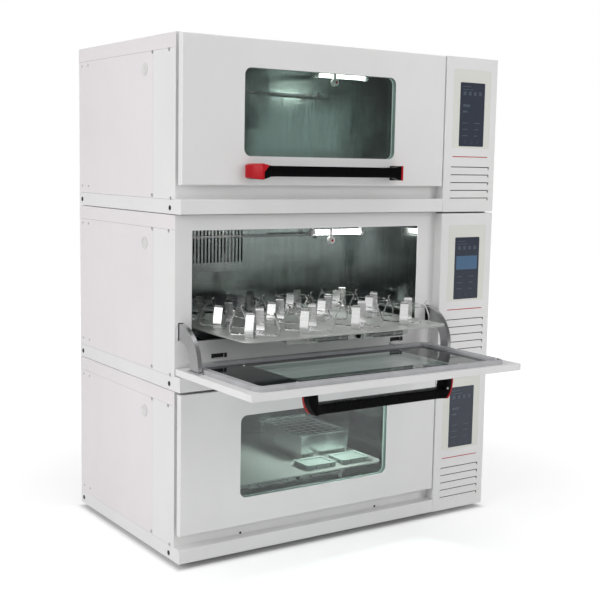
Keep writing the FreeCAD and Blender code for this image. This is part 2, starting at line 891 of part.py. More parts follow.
def carriage():
    """Plate on the crank pins, with two hubs, lightening windows and the slide rails."""
    half = carriage_width / 2
    bottom = carriage_bottom
    top = bottom + carriage_plate
    body = block(drive_x - half, drive_x + half, carriage_front, carriage_back, bottom, top)
    window_gap = (carriage_back - carriage_front - 2 * carriage_window_depth) / 3
    for column in (-1, 1):
        for row in range(2):
            x0 = drive_x + column * rail_spacing / 4 - carriage_window_width / 2
            y0 = carriage_front + window_gap / 2 + row * (carriage_window_depth + 2 * window_gap)
            body = body.cut(block(x0, x0 + carriage_window_width, y0, y0 + carriage_window_depth,
                                  bottom - overrun, top + overrun))
    for x in (drive_x, idler_x):
        body = body.fuse(rod(carriage_hub_radius, vec(x, drive_pin_y, bottom),
                             vec(x, drive_pin_y, bottom + carriage_hub_height)))
    for x, play in ((drive_x, crank_clearance), (idler_x, idler_clearance)):
        body = body.cut(rod(crank_pin_radius + play, vec(x, drive_pin_y, bottom - overrun),
                            vec(x, drive_pin_y, crank_pin_top + idler_clearance)))
    for x, side in rail_places():
        body = body.fuse(slide_rail(x, side))
    return body.removeSplitter()


def tray_runner(x, side):
    """Bar under the tray that slides in a rail, hung from a web."""
    x0, x1 = span(x + side * (rail_width - rail_slot_depth + runner_play),
                  x + side * (rail_width + runner_play))
    front = tray_front_closed + apron_setback + apron_sheet
    back = carriage_back - runner_setback
    bar = block(x0, x1, front, back, rail_slot_bottom + runner_play, rail_slot_top - runner_play)
    w0, w1 = span(x + side * (rail_width + runner_play), x + side * (rail_width + runner_play + runner_web))
    web = block(w0, w1, front, back, rail_slot_bottom + runner_play, tray_top - tray_plate)
    return bar.fuse(web)


def tray_loop(x):
    """Wire handle under the front edge: a bar and its two posts, each a separate solid."""
    apron = tray_front_closed + apron_setback
    y = apron - loop_standoff + loop_radius
    z = apron_bottom + loop_radius
    half = loop_length / 2
    bar = hex_rod(loop_radius, vec(x - half, y, z), vec(x + half, y, z))
    posts = []
    for end in (-1, 1):
        foot = x + end * (half - loop_radius)
        level = hex_rod(loop_radius, vec(foot, apron, z + loop_drop), vec(foot, y, z + loop_drop))
        drop = hex_rod(loop_radius, vec(foot, y, z + loop_radius), vec(foot, y, z + loop_drop + loop_radius))
        posts.append(level.fuse(drop))
    return [bar] + posts


def tray():
    """Sliding platform with rounded corners, front apron, runners, wire handles and latch knob."""
    half = tray_width / 2
    y0 = tray_front_closed
    plate = flat_slab(drive_x - half, drive_x + half, y0, y0 + tray_depth, tray_corner,
                      tray_top - tray_plate, tray_top)
    apron = block(drive_x - apron_half_width, drive_x + apron_half_width, y0 + apron_setback,
                  y0 + apron_setback + apron_sheet, apron_bottom, tray_top - tray_plate)
    body = plate.fuse(apron)
    for x, side in rail_places():
        body = body.fuse(tray_runner(x, side))
    pieces = [body.removeSplitter()]
    for side in (-1, 1):
        pieces += tray_loop(drive_x + side * loop_offset)
    knob_z = (apron_bottom + tray_top - tray_plate) / 2
    apron_face = vec(drive_x, y0 + apron_setback, knob_z)
    pieces.append(rod(knob_radius, apron_face, apron_face.sub(vec(0, knob_length, 0))))
    return group(pieces)


def clamp_centres():
    """Centres of the flask clamps on a closed tray."""
    centres = []
    for row in range(clamp_rows):
        for column in range(clamp_columns):
            x = drive_x + (column - (clamp_columns - 1) / 2) * clamp_pitch_x
            y = tray_front_closed + clamp_first_row + row * clamp_pitch_y
            centres.append(vec(x, y, tray_top))
    return centres


def clamp_cross():
    """Flat cross that a clamp's four fingers stand on, its bars on the diagonals."""
    reach = flask_base_radius
    half = clamp_arm_width / 2
    bar = block(-reach, reach, -half, half, 0, clamp_sheet)
    other = bar.copy()
    other.rotate(vec(0, 0, 0), vec(0, 0, 1), 90)
    cross = bar.fuse(other).removeSplitter()
    cross.rotate(vec(0, 0, 0), vec(0, 0, 1), clamp_first_angle)
    return cross


def clamp_finger():
    """One spring-steel finger: upright wall, leaning part and flared lip, drawn along +X."""
    r = flask_base_radius
    t = clamp_sheet
    knee = clamp_height * clamp_knee_share
    crook = clamp_height - clamp_lip
    inner = r - clamp_lean
    lip = inner + clamp_lip
    points = [vec(r, 0, 0), vec(r + t, 0, 0), vec(r + 2 * t, 0, knee), vec(inner + 2 * t, 0, crook),
              vec(lip + 2 * t, 0, clamp_height), vec(lip + t, 0, clamp_height + t),
              vec(inner + t / 2, 0, crook), vec(r + t, 0, knee)]
    finger = prism(points, vec(0, clamp_arm_width, 0))
    finger.translate(vec(0, -clamp_arm_width / 2, 0))
    return finger


def flask_clamps():
    """A cross and four fingers for each flask clamp."""
    cross = clamp_cross()
    finger = clamp_finger()
    solids = []
    for centre in clamp_centres():
        base = cross.copy()
        base.translate(centre)
        solids.append(base)
        for quarter in range(4):
            copy = finger.copy()
            copy.rotate(vec(0, 0, 0), vec(0, 0, 1), clamp_first_angle + quarter * 90)
            copy.translate(centre)
            solids.append(copy)
    return group(solids)


def spring_end(centre, angle, way):
    """Corners of the six-sided outline on one side of a finger, where a spring is hooked in."""
    turn = math.radians(angle)
    radial = vec(math.cos(turn), math.sin(turn), 0)
    tangent = vec(-math.sin(turn), math.cos(turn), 0)
    height = clamp_height - clamp_lip - clamp_spring_inset
    lean_share = clamp_spring_inset / (clamp_height * (1 - clamp_knee_share) - clamp_lip)
    reach = flask_base_radius + clamp_sheet - clamp_lean * (1 - lean_share)
    foot = centre.add(radial * reach).add(tangent * (way * clamp_arm_width / 2)).add(vec(0, 0, height))
    corners = []
    for index in range(6):
        corner = 2 * math.pi * index / 6
        outward = radial * (math.sqrt(2) * clamp_spring_radius * math.cos(corner))
        corners.append(foot.add(outward).add(vec(0, 0, clamp_spring_radius * math.sin(corner))))
    return corners


def flat_face(corners):
    """A flat face bounded by straight edges."""
    return Part.Face(Part.makePolygon(corners + [corners[0]]))


def mitred_bar(start, end):
    """A straight bar between two outlines that have the same number of corners."""
    faces = [flat_face(start), flat_face(end)]
    for index in range(len(start)):
        ahead = (index + 1) % len(start)
        faces.append(flat_face([start[index], start[ahead], end[ahead], end[index]]))
    return Part.Solid(Part.Shell(faces))


def clamp_springs():
    """Straight springs between neighbouring fingers, mitred where they meet them."""
    solids = []
    for centre in clamp_centres():
        for quarter in range(4):
            angle = clamp_first_angle + quarter * 90
            solids.append(mitred_bar(spring_end(centre, angle, 1), spring_end(centre, angle + 90, -1)))
    return group(solids)


def tube_rack():
    """Sheet-steel rack box with a wired rim."""
    x0, x1 = rack_left, rack_left + rack_width
    y0, y1 = rack_front, rack_front + rack_depth
    z0, z1 = tray_top, tray_top + rack_height
    shell = flat_slab(x0, x1, y0, y1, rack_corner, z0, z1)
    hollow = flat_slab(x0 + rack_sheet, x1 - rack_sheet, y0 + rack_sheet, y1 - rack_sheet,
                       rack_corner - rack_sheet, z0 + rack_sheet, z1 + overrun)
    rim = flat_slab(x0 - rack_rim, x1 + rack_rim, y0 - rack_rim, y1 + rack_rim, rack_corner + rack_rim,
                    z1 - rack_rim, z1)
    body = shell.fuse(rim).cut(hollow)
    return body.removeSplitter()


def plate_holder(x0, y0):
    """Low moulded holder with a shallow pocket and notches round its sides."""
    x1, y1 = x0 + holder_width, y0 + holder_depth
    body = flat_slab(x0, x1, y0, y1, holder_corner, tray_top, tray_top + holder_height)
    margin = holder_pocket_margin
    pocket = flat_slab(x0 + margin, x1 - margin, y0 + margin, y1 - margin, holder_corner / 2,
                       tray_top + holder_height - holder_pocket_depth, tray_top + holder_height + overrun)
    body = body.cut(pocket)
    half = holder_notch / 2
    low = tray_top - overrun
    top = tray_top + holder_height - holder_pocket_depth
    for share in holder_notch_shares:
        x = x0 + share * holder_width
        y = y0 + share * holder_depth
        for v0, v1 in ((y0 - overrun, y0 + holder_notch_depth), (y1 - holder_notch_depth, y1 + overrun)):
            body = body.cut(block(x - half, x + half, v0, v1, low, top))
        for u0, u1 in ((x0 - overrun, x0 + holder_notch_depth), (x1 - holder_notch_depth, x1 + overrun)):
            body = body.cut(block(u0, u1, y - half, y + half, low, top))
    return body


def plate_holders():
    """Two plate holders side by side in front of the rack."""
    y0 = tray_front_closed + holder_front
    right = drive_x + tray_width / 2 - tray_corner - holder_width
    return group([plate_holder(right, y0), plate_holder(right - holder_width - holder_gap, y0)])


def duct_cover():
    """Box over the fan with inlet slots in front and outlet slots below the ceiling."""
    x0, x1 = duct_left, duct_left + duct_width
    back = chamber_back - chamber_sheet
    shell = block(x0, x1, duct_front, back, duct_bottom, duct_top)
    inner = block(x0 + duct_sheet, x1 - duct_sheet, duct_front + duct_sheet, back + overrun,
                  duct_bottom + duct_sheet, duct_top - duct_sheet)
    cover = shell.cut(inner)
    middle = fan_centre()
    for index in range(duct_slot_count):
        x = middle.x + (index - (duct_slot_count - 1) / 2) * duct_slot_pitch
        cover = cover.cut(block(x - duct_slot_width / 2, x + duct_slot_width / 2, duct_front - overrun,
                                duct_front + duct_sheet + overrun, middle.z - duct_slot_height / 2,
                                middle.z + duct_slot_height / 2))
    step = duct_width / duct_outlet_count
    outlet_y = (duct_front + duct_sheet + back) / 2
    for index in range(duct_outlet_count):
        x = x0 + (index + 0.5) * step
        cover = cover.cut(block(x - duct_outlet_width / 2, x + duct_outlet_width / 2,
                                outlet_y - duct_outlet_height / 2, outlet_y + duct_outlet_height / 2,
                                duct_bottom - overrun, duct_top + overrun))
    return cover


def fan():
    """Radial fan wheel with its shaft, in front of the chamber's back wall."""
    middle = fan_centre()
    back = chamber_back - chamber_sheet - fan_back_gap
    disc_front = back - fan_back_plate
    disc = rod(fan_radius, vec(middle.x, disc_front, middle.z), vec(middle.x, back, middle.z))
    tip = disc_front - fan_blade_height
    hub = rod(fan_hub_radius, vec(middle.x, tip, middle.z), vec(middle.x, disc_front, middle.z))
    shaft = rod(fan_shaft_radius, vec(middle.x, disc_front, middle.z),
                vec(middle.x, chamber_back + fan_motor_bore_depth - shaft_foot_gap, middle.z))
    wheel = disc.fuse([hub, shaft])
    for index in range(fan_blade_count):
        blade = block(fan_blade_inner, fan_radius - fan_blade_sheet, tip, disc_front,
                      -fan_blade_sheet / 2, fan_blade_sheet / 2)
        blade.rotate(vec((fan_blade_inner + fan_radius) / 2, 0, 0), vec(0, 1, 0), fan_blade_lean)
        blade.rotate(vec(0, 0, 0), vec(0, 1, 0), index * 360.0 / fan_blade_count)
        blade.translate(vec(middle.x, 0, middle.z))
        wheel = wheel.fuse(blade)
    return wheel


def chamber_lamp():
    """Tube lamp under the ceiling, held in two round sockets on stems."""
    ceiling = chamber_ceiling - chamber_sheet
    z = ceiling - lamp_drop
    x0, x1 = lamp_left, lamp_left + lamp_length
    tube = rod(lamp_radius, vec(x0, lamp_y, z), vec(x1, lamp_y, z))
    pieces = [tube]
    for start, way in ((x0, -1), (x1, 1)):
        a, b = span(start, start + way * lamp_socket_length)
        socket = rod(lamp_socket_radius, vec(a, lamp_y, z), vec(b, lamp_y, z))
        middle = (a + b) / 2
        stem = block(middle - lamp_socket_stem / 2, middle + lamp_socket_stem / 2,
                     lamp_y - lamp_socket_stem / 2, lamp_y + lamp_socket_stem / 2, z, ceiling)
        pieces.append(socket.fuse(stem))
    return pieces


def chamber_sensor():
    """Round temperature sensor housing that hangs from the ceiling and faces the door."""
    ceiling = chamber_ceiling - chamber_sheet
    z = ceiling - sensor_drop
    face = vec(sensor_x, sensor_y, z)
    body = rod(sensor_radius, face, face.add(vec(0, sensor_length, 0)))
    nose = rod(sensor_nose_radius, face.sub(vec(0, sensor_nose_length, 0)), face)
    stem = rod(sensor_nose_radius, vec(sensor_x, sensor_y + sensor_length / 2, z),
               vec(sensor_x, sensor_y + sensor_length / 2, ceiling))
    return body.fuse([nose, stem])


def heater():
    """Straight tubular heaters at the left and right of the fan, each on two posts from the wall."""
    middle = fan_centre()
    wall = chamber_back - chamber_sheet
    y = wall - heater_standoff
    half = heater_length / 2
    pieces = []
    for way in (-1, 1):
        x = middle.x + way * heater_offset
        tube = rod(heater_tube_radius, vec(x, y, middle.z - half), vec(x, y, middle.z + half))
        for end in (-1, 1):
            z = middle.z + end * (half - heater_post_inset)
            post = hex_rod(heater_post_radius, vec(x, y, z), vec(x, wall, z))
            tube = tube.fuse(post)
        pieces.append(tube)
    return pieces


def side_panels():
    """Removable left and right side sheets; the left one has the access port's hole."""
    front = column_return
    back = cabinet_depth - sheet
    low = base_height + seam
    high = module_pitch - deck_height - seam
    left = block(0, sheet, front, back, low, high)
    port = vec(-overrun, port_y, port_z)
    left = left.cut(rod(port_hole_radius, port, port.add(vec(sheet + 2 * overrun, 0, 0))))
    right = block(cabinet_width - sheet, cabinet_width, front, back, low, high)
    return [left, right]


def back_panel():
    """Removable back sheet with vents and the cut-out of the mains inlet."""
    inner = cabinet_depth - sheet
    panel = block(back_seam_inset, cabinet_width - back_seam_inset, inner, cabinet_depth,
                  base_height + seam, module_pitch - deck_height - seam)
    for column in (-1, 1):
        for index in range(panel_vent_count):
            x = cabinet_width / 2 + column * cabinet_width / 4
            z = panel_vent_bottom + index * panel_vent_pitch
            panel = panel.cut(block(x - panel_vent_length / 2, x + panel_vent_length / 2, inner - overrun,
                                    cabinet_depth + overrun, z, z + panel_vent_height))
    half_w = inlet_width / 2 + inlet_clearance
    half_h = inlet_height / 2 + inlet_clearance
    return panel.cut(block(inlet_x - half_w, inlet_x + half_w, inner - overrun, cabinet_depth + overrun,
                           inlet_z - half_h, inlet_z + half_h))


def power_inlet():
    """Mains inlet socket on the back panel."""
    half_w, half_h = inlet_width / 2, inlet_height / 2
    body = block(inlet_x - half_w, inlet_x + half_w, cabinet_depth - inlet_depth, cabinet_depth,
                 inlet_z - half_h, inlet_z + half_h)
    flange = block(inlet_x - half_w - inlet_flange, inlet_x + half_w + inlet_flange, cabinet_depth,
                   cabinet_depth + inlet_flange_thickness, inlet_z - half_h - inlet_flange,
                   inlet_z + half_h + inlet_flange)
    hollow = block(inlet_x - half_w + socket_wall, inlet_x + half_w - socket_wall,
                   cabinet_depth + inlet_flange_thickness - socket_depth,
                   cabinet_depth + inlet_flange_thickness + overrun,
                   inlet_z - half_h + socket_wall, inlet_z + half_h - socket_wall)
    return body.fuse(flange).cut(hollow).removeSplitter()


def port_plug():
    """Round plug that closes the access port in the left side."""
    face = vec(0, port_y, port_z)
    cap = rod(port_radius, face.sub(vec(port_proud, 0, 0)), face)
    dish = rod(port_radius - 2 * port_proud, face.sub(vec(port_proud + overrun, 0, 0)),
               face.sub(vec(port_proud - port_dish, 0, 0)))
    stem = rod(port_hole_radius - port_plug_play, face, face.add(vec(port_plug_length, 0, 0)))
    return cap.cut(dish).fuse(stem)


def corner_places():
    """Centres of the four feet of a module, and of the pads above them."""
    places = []
    for x in (foot_inset, cabinet_width - foot_inset):
        for y in (foot_inset, cabinet_depth - foot_inset):
            places.append((x, y))
    return places


def feet():
    """Levelling feet under the lowest module and the rubber pads between modules."""
    solids = []
    neck_bottom = stack_gap - foot_neck
    for x, y in corner_places():
        sole = rod(foot_radius, vec(x, y, neck_bottom - foot_height), vec(x, y, neck_bottom))
        neck = rod(foot_neck_radius, vec(x, y, neck_bottom), vec(x, y, stack_gap))
        solids.append(sole.fuse(neck))
        for module in range(module_count):
            pad = block(x - pad_side / 2, x + pad_side / 2, y - pad_side / 2, y + pad_side / 2,
                        module_pitch, module_pitch + pad_height)
            solids.append(raised(pad, module))
    return group(solids)


def turned(shape, angle, pivot_z):
    """A copy of a shape turned about the door's pivot line; a positive angle opens a drop-down door."""
    copy = shape.copy()
    copy.rotate(vec(0, 0, pivot_z), vec(1, 0, 0), angle)
    return copy


def door_pose(shape, module):
    """Put a door piece at its module, open on the middle one."""
    if module == middle_module:
        shape = turned(shape, door_swing, lower_pivot)
    return raised(shape, module)


def tray_pose(shape, module):
    """Put a tray piece at its module, pulled out on the middle one."""
    copy = raised(shape, module)
    if module == middle_module:
        copy.translate(vec(0, -tray_travel, 0))
    return copy


def repeated(maker):
    """The same piece in every module, as one group of solids."""
    solids = []
    for module in range(module_count):
        made = maker()
        made = made if isinstance(made, list) else [made]
        solids += [raised(shape, module) for shape in made]
    return group(solids)


def build():
    """Make every node and return it by name."""
    nodes = {}
    for module in range(module_count):
        lift_up = module == top_module
        place = "lower middle upper".split()[module]
        nodes["base_pan_" + place] = raised(base_pan(), module)
        nodes["front_frame_" + place] = raised(front_frame(lift_up), module)
        nodes["chamber_" + place] = raised(chamber(), module)
        nodes["control_column_" + place] = raised(control_column(), module)
        nodes["drive_eccentric_" + place] = raised(drive_eccentric(), module)
        nodes["idler_eccentric_" + place] = raised(idler_eccentric(), module)
        nodes["carriage_" + place] = raised(carriage(), module)
        nodes["fan_" + place] = raised(fan(), module)
        nodes["tray_" + place] = tray_pose(tray(), module)
        nodes["door_pan_" + place] = door_pose(door_pan(lift_up), module)
        nodes["door_glass_" + place] = door_pose(door_glass(), module)
        nodes["door_gasket_" + place] = door_pose(door_gasket(), module)
        nodes["door_stays_" + place] = door_pose(door_stays(lift_up), module)
        if module >= middle_module:
            nodes["door_handle_" + place] = door_pose(handle(lift_up), module)
            nodes["handle_caps_" + place] = door_pose(handle_caps(lift_up), module)
    nodes["flask_clamps"] = tray_pose(flask_clamps(), middle_module)
    nodes["clamp_springs"] = tray_pose(clamp_springs(), middle_module)
    nodes["tube_rack"] = tube_rack()
    nodes["plate_holders"] = plate_holders()
    nodes["top_decks"] = repeated(top_deck)
    nodes["touchscreens"] = repeated(touchscreen)
    nodes["side_panels"] = repeated(side_panels)
    nodes["back_panels"] = repeated(back_panel)
    nodes["chamber_lamps"] = repeated(chamber_lamp)
    nodes["chamber_sensors"] = repeated(chamber_sensor)
    nodes["duct_covers"] = repeated(duct_cover)
    nodes["heaters"] = repeated(heater)
    nodes["drive_bases"] = repeated(drive_base)
    nodes["motors"] = repeated(motors)
    nodes["power_inlets"] = repeated(power_inlet)
    nodes["port_plugs"] = repeated(port_plug)
    nodes["feet"] = feet()
    return nodes


def main():
    """Write one STEP file for each node, in the part's own frame."""
    os.makedirs("parts", exist_ok=True)
    centre_x = (cabinet_width - port_proud) / 2
    centre_y = (back_reach - open_reach) / 2
    ground = stack_gap - foot_height - foot_neck
    shift = vec(-centre_x, -centre_y, -ground)
    for name, shape in build().items():
        shape.translate(shift)
        shape.exportStep("parts/" + name + ".step")


main()
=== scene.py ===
"""Looks of a stack of incubated benchtop shakers, built round its packed construction model."""

from __future__ import annotations

import json
import logging
import math
from dataclasses import dataclass
from enum import Enum
from typing import Iterable, Mapping, Sequence

import bmesh
import bpy
from mathutils import Matrix, Vector

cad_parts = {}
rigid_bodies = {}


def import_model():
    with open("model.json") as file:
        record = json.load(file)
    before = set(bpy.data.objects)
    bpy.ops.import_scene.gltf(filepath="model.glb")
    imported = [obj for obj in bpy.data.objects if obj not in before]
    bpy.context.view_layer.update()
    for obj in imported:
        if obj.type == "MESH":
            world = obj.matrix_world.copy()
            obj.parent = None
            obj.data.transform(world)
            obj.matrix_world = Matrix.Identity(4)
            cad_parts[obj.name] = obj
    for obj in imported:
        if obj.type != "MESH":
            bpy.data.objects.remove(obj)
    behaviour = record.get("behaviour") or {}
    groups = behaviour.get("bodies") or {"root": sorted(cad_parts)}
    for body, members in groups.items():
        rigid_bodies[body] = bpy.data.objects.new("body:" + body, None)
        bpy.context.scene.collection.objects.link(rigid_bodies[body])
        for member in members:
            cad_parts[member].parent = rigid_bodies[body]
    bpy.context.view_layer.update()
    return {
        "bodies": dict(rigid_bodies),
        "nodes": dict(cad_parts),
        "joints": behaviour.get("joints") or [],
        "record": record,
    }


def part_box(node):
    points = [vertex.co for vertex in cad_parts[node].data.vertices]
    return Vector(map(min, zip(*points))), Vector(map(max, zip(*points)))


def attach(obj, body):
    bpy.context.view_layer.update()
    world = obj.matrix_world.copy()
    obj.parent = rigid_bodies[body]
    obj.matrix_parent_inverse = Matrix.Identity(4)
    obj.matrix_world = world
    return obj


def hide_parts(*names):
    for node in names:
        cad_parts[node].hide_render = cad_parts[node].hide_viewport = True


log = logging.getLogger("shaker")

MM = 0.001
SHARP_ANGLE = 38.0
PLACES = ("lower", "middle", "upper")
MODULES = range(len(PLACES))
OPEN_PLACE = "middle"
OPEN_MODULE = PLACES.index(OPEN_PLACE)
LIFT_UP_PLACE = "upper"
CABINET = "cabinet"
Colour = tuple[float, float, float]
Pair = tuple[float, float]
Triple = tuple[float, float, float]
Points = tuple[Pair, ...]
Box = tuple[float, float, float, float]
Frame = Mapping[str, Mapping[str, bpy.types.Object]]


# Shader expressions


class Wire:
    """A value in a shader that can be used in an expression."""

    def __init__(self, graph: Graph, socket: bpy.types.NodeSocket) -> None:
        """Wrap one output socket of a graph."""
        self.graph = graph
        self.socket = socket

    def math(self, operation: str, *others: Wire | float) -> Wire:
        """Add a Math node whose first value is this one.

        Args:
            operation: The Math node's operation.
            others: The node's other values.

        Returns:
            The node's result.
        """
        settings = {"operation": operation}
        node = self.graph.node("ShaderNodeMath", settings, dict(enumerate((self, *others))))
        return Wire(self.graph, node.outputs[0])

    def __add__(self, other: Wire | float) -> Wire:
        """Sum."""
        return self.math("ADD", other)

    __radd__ = __add__

    def __sub__(self, other: Wire | float) -> Wire:
        """Difference."""
        return self.math("SUBTRACT", other)

    def __rsub__(self, other: float) -> Wire:
        """Difference from a number."""
        return (self * -1.0) + other

    def __mul__(self, other: Wire | float) -> Wire:
        """Product."""
        return self.math("MULTIPLY", other)

    __rmul__ = __mul__

    def __abs__(self) -> Wire:
        """Size without sign."""
        return self.math("ABSOLUTE")

    def larger(self, other: Wire | float) -> Wire:
        """The larger of two values."""
        return self.math("MAXIMUM", other)

    def ramp(self, low: float, high: float) -> Wire:
        """Smooth step from 0 at low to 1 at high.

        Args:
            low: The value that gives 0.
            high: The value that gives 1.

        Returns:
            The stepped value.
        """
        node = self.graph.node(
            "ShaderNodeMapRange",
            {"interpolation_type": "SMOOTHSTEP"},
            {"Value": self, "From Min": low, "From Max": high},
        )
        return Wire(self.graph, node.outputs["Result"])


class Graph:
    """The node tree of one material or world."""

    def __init__(self, tree: bpy.types.NodeTree) -> None:
        """Start an empty tree."""
        tree.nodes.clear()
        self.tree = tree

    def node(
        self,
        kind: str,
        settings: Mapping[str, object] | None = None,
        values: Mapping[str | int, object] | None = None,
    ) -> bpy.types.Node:
        """Add any node.

        Args:
            kind: The node's type.
            settings: Its settings, set before its sockets.
            values: Numbers, colours or wires for its input sockets.

        Returns:
            The new node.
        """
        made = self.tree.nodes.new(kind)
        for name, value in (settings or {}).items():
            setattr(made, name, value)
        for name, value in (values or {}).items():
            if isinstance(value, Wire):
                self.tree.links.new(value.socket, made.inputs[name])
            else:
                made.inputs[name].default_value = value
        return made

    def place(self, stretch: Sequence[float] = (1.0, 1.0, 1.0)) -> Wire:
        """The surface point in metres, each axis multiplied by a factor.

        Args:
            stretch: The factors for X, Y and Z.

        Returns:
            The stretched point.
        """
        coordinate = self.node("ShaderNodeTexCoord")
        point = Wire(self, coordinate.outputs["Object"])
        scaled = self.node("ShaderNodeVectorMath", {"operation": "MULTIPLY"}, {0: point, 1: tuple(stretch)})
        return Wire(self, scaled.outputs[0])

    def noise(
        self,
        scale: float,
        detail: float = 2.0,
        stretch: Sequence[float] = (1.0, 1.0, 1.0),
        roughness: float = 0.5,
    ) -> Wire:
        """Cloudy noise between 0 and 1.

        Args:
            scale: How many features there are to a metre.
            detail: Octaves of finer noise.
            stretch: Factors on the axes, larger for finer grain along that axis.
            roughness: Weight of the finer octaves.

        Returns:
            The noise value.
        """
        values = {"Vector": self.place(stretch), "Scale": scale, "Detail": detail, "Roughness": roughness}
        return Wire(self, self.node("ShaderNodeTexNoise", None, values).outputs[0])

    def cells(self, scale: float) -> Wire:
        """Distance to the nearest of many scattered points, for speckle and fine grain."""
        values = {"Vector": self.place(), "Scale": scale}
        return Wire(self, self.node("ShaderNodeTexVoronoi", None, values).outputs["Distance"])

    def mix(self, mask: Wire | float, first: Wire | Colour, second: Wire | Colour) -> Wire:
        """Blend two colours.

        Args:
            mask: 0 gives the first colour, 1 the second.
            first: A colour or a wire of one.
            second: Another colour or wire.

        Returns:
            The blended colour.
        """
        pair = [value if isinstance(value, Wire) else (*value, 1.0) for value in (first, second)]
        node = self.node("ShaderNodeMix", {"data_type": "RGBA"}, {0: mask, 6: pair[0], 7: pair[1]})
        return Wire(self, node.outputs[2])

    def bump(self, height: Wire, distance: float) -> Wire:
        """A normal bent by a height.

        Args:
            height: The height, about 0 to 1.
            distance: What a height of 1 is in metres.

        Returns:
            The bent normal.
        """
        node = self.node("ShaderNodeBump", None, {"Height": height, "Distance": distance, "Strength": 1.0})
        return Wire(self, node.outputs[0])

    def principled(self, values: Mapping[str | int, object]) -> Wire:
        """A Principled surface.

        Args:
            values: Numbers, colours or wires for its sockets.

        Returns:
            The shader.
        """
        ready = {
            name: (*value, 1.0) if isinstance(value, tuple) and len(value) == 3 else value
            for name, value in values.items()
        }
        return Wire(self, self.node("ShaderNodeBsdfPrincipled", None, ready).outputs[0])

    def mix_shader(self, mask: Wire | float, first: Wire, second: Wire) -> Wire:
        """Blend two shaders; a mask of 1 shows the second."""
        return Wire(self, self.node("ShaderNodeMixShader", None, {0: mask, 1: first, 2: second}).outputs[0])

    def output(self, surface: Wire, kind: str = "ShaderNodeOutputMaterial") -> None:
        """Connect the finished surface."""
        self.node(kind, None, {"Surface": surface})


# Finishes


@dataclass(frozen=True)
class Finish:
    """A surface finish and the record's material slot it stands for."""

    name: str
    slot: str

    def surface(self, graph: Graph) -> Wire:
        """The finish's shader, built into a graph."""
        raise NotImplementedError

    def material(self) -> bpy.types.Material:
        """The finish's material, made once.

        Returns:
            The material.
        """
        found = bpy.data.materials.get(self.name)
        if found is None:
            found = bpy.data.materials.new(self.name)
            found.use_nodes = True
            graph = Graph(found.node_tree)
            graph.output(self.surface(graph))
        return found


def shade(colour: Colour, factor: float) -> Colour:
    """A colour made lighter or darker."""
    return (colour[0] * factor, colour[1] * factor, colour[2] * factor)


@dataclass(frozen=True)
class PowderCoat(Finish):
    """Satin powder-coated sheet with a faint orange peel and handling marks."""

    colour: Colour = (0.80, 0.80, 0.80)
    roughness: float = 0.36
    peel: float = 0.00006

    def surface(self, graph: Graph) -> Wire:
        """Clouded colour, uneven sheen and orange peel.

        Args:
            graph: The tree that it is built in.

        Returns:
            The shader.
        """
        cloud = graph.noise(2.5, 3.0).ramp(0.35, 0.7)
        smear = graph.noise(9.0, 5.0, (1.0, 1.0, 0.45)).ramp(0.45, 0.8)
        peel = graph.noise(420.0, 2.0)
        tint = graph.mix(cloud, self.colour, shade(self.colour, 0.965))
        tint = graph.mix(smear * 0.35, tint, shade(self.colour, 0.93))
        return graph.principled({
            "Base Color": tint,
            "Roughness": smear * 0.12 + self.roughness,
            "Normal": graph.bump(peel, self.peel),
            "Coat Weight": 0.08,
        })


@dataclass(frozen=True)
class Metal(Finish):
    """Bare sheet or turned metal with a grain along one direction."""

    colour: Colour = (0.62, 0.63, 0.64)
    roughness: float = 0.2
    variation: float = 0.12
    grain: Triple = (1.0, 1.0, 40.0)
    grain_scale: float = 30.0
    wave: float = 0.0
    streak: Triple | None = None
    grain_height: float = 0.00002

    def surface(self, graph: Graph) -> Wire:
        """Grain, smudges and a slight wave in the sheet.

        Args:
            graph: The tree that it is built in.

        Returns:
            The shader.
        """
        grain = graph.noise(self.grain_scale, 4.0, self.grain, 0.65)
        streak = graph.noise(self.grain_scale, 4.0, self.streak or self.grain, 0.65)
        smudge = graph.noise(7.0, 4.0).ramp(0.4, 0.75)
        tint = graph.mix(streak.ramp(0.3, 0.7), shade(self.colour, 0.86), self.colour)
        tint = graph.mix(smudge * 0.3, tint, shade(self.colour, 0.8))
        rough = streak * self.variation + smudge * (self.variation * 0.8) + self.roughness
        height = grain * self.grain_height
        if self.wave > 0:
            height = height + graph.noise(5.5, 1.0) * self.wave
        return graph.principled({
            "Base Color": tint,
            "Metallic": 1.0,
            "Roughness": rough,
            "Normal": graph.bump(height, 1.0),
        })


@dataclass(frozen=True)
class Anodised(Finish):
    """Pale sheet with a fine sparkling tooth."""

    colour: Colour = (0.62, 0.62, 0.60)
    roughness: float = 0.42

    def surface(self, graph: Graph) -> Wire:
        """Speckled grain over a clouded colour.

        Args:
            graph: The tree that it is built in.

        Returns:
            The shader.
        """
        speck = graph.cells(900.0).ramp(0.1, 0.75)
        cloud = graph.noise(6.0, 4.0).ramp(0.35, 0.7)
        tint = graph.mix(speck, shade(self.colour, 0.82), shade(self.colour, 1.06))
        tint = graph.mix(cloud * 0.4, tint, shade(self.colour, 0.88))
        return graph.principled({
            "Base Color": tint,
            "Metallic": 0.55,
            "Roughness": cloud * 0.14 + self.roughness,
            "Normal": graph.bump(speck, 0.00008),
        })


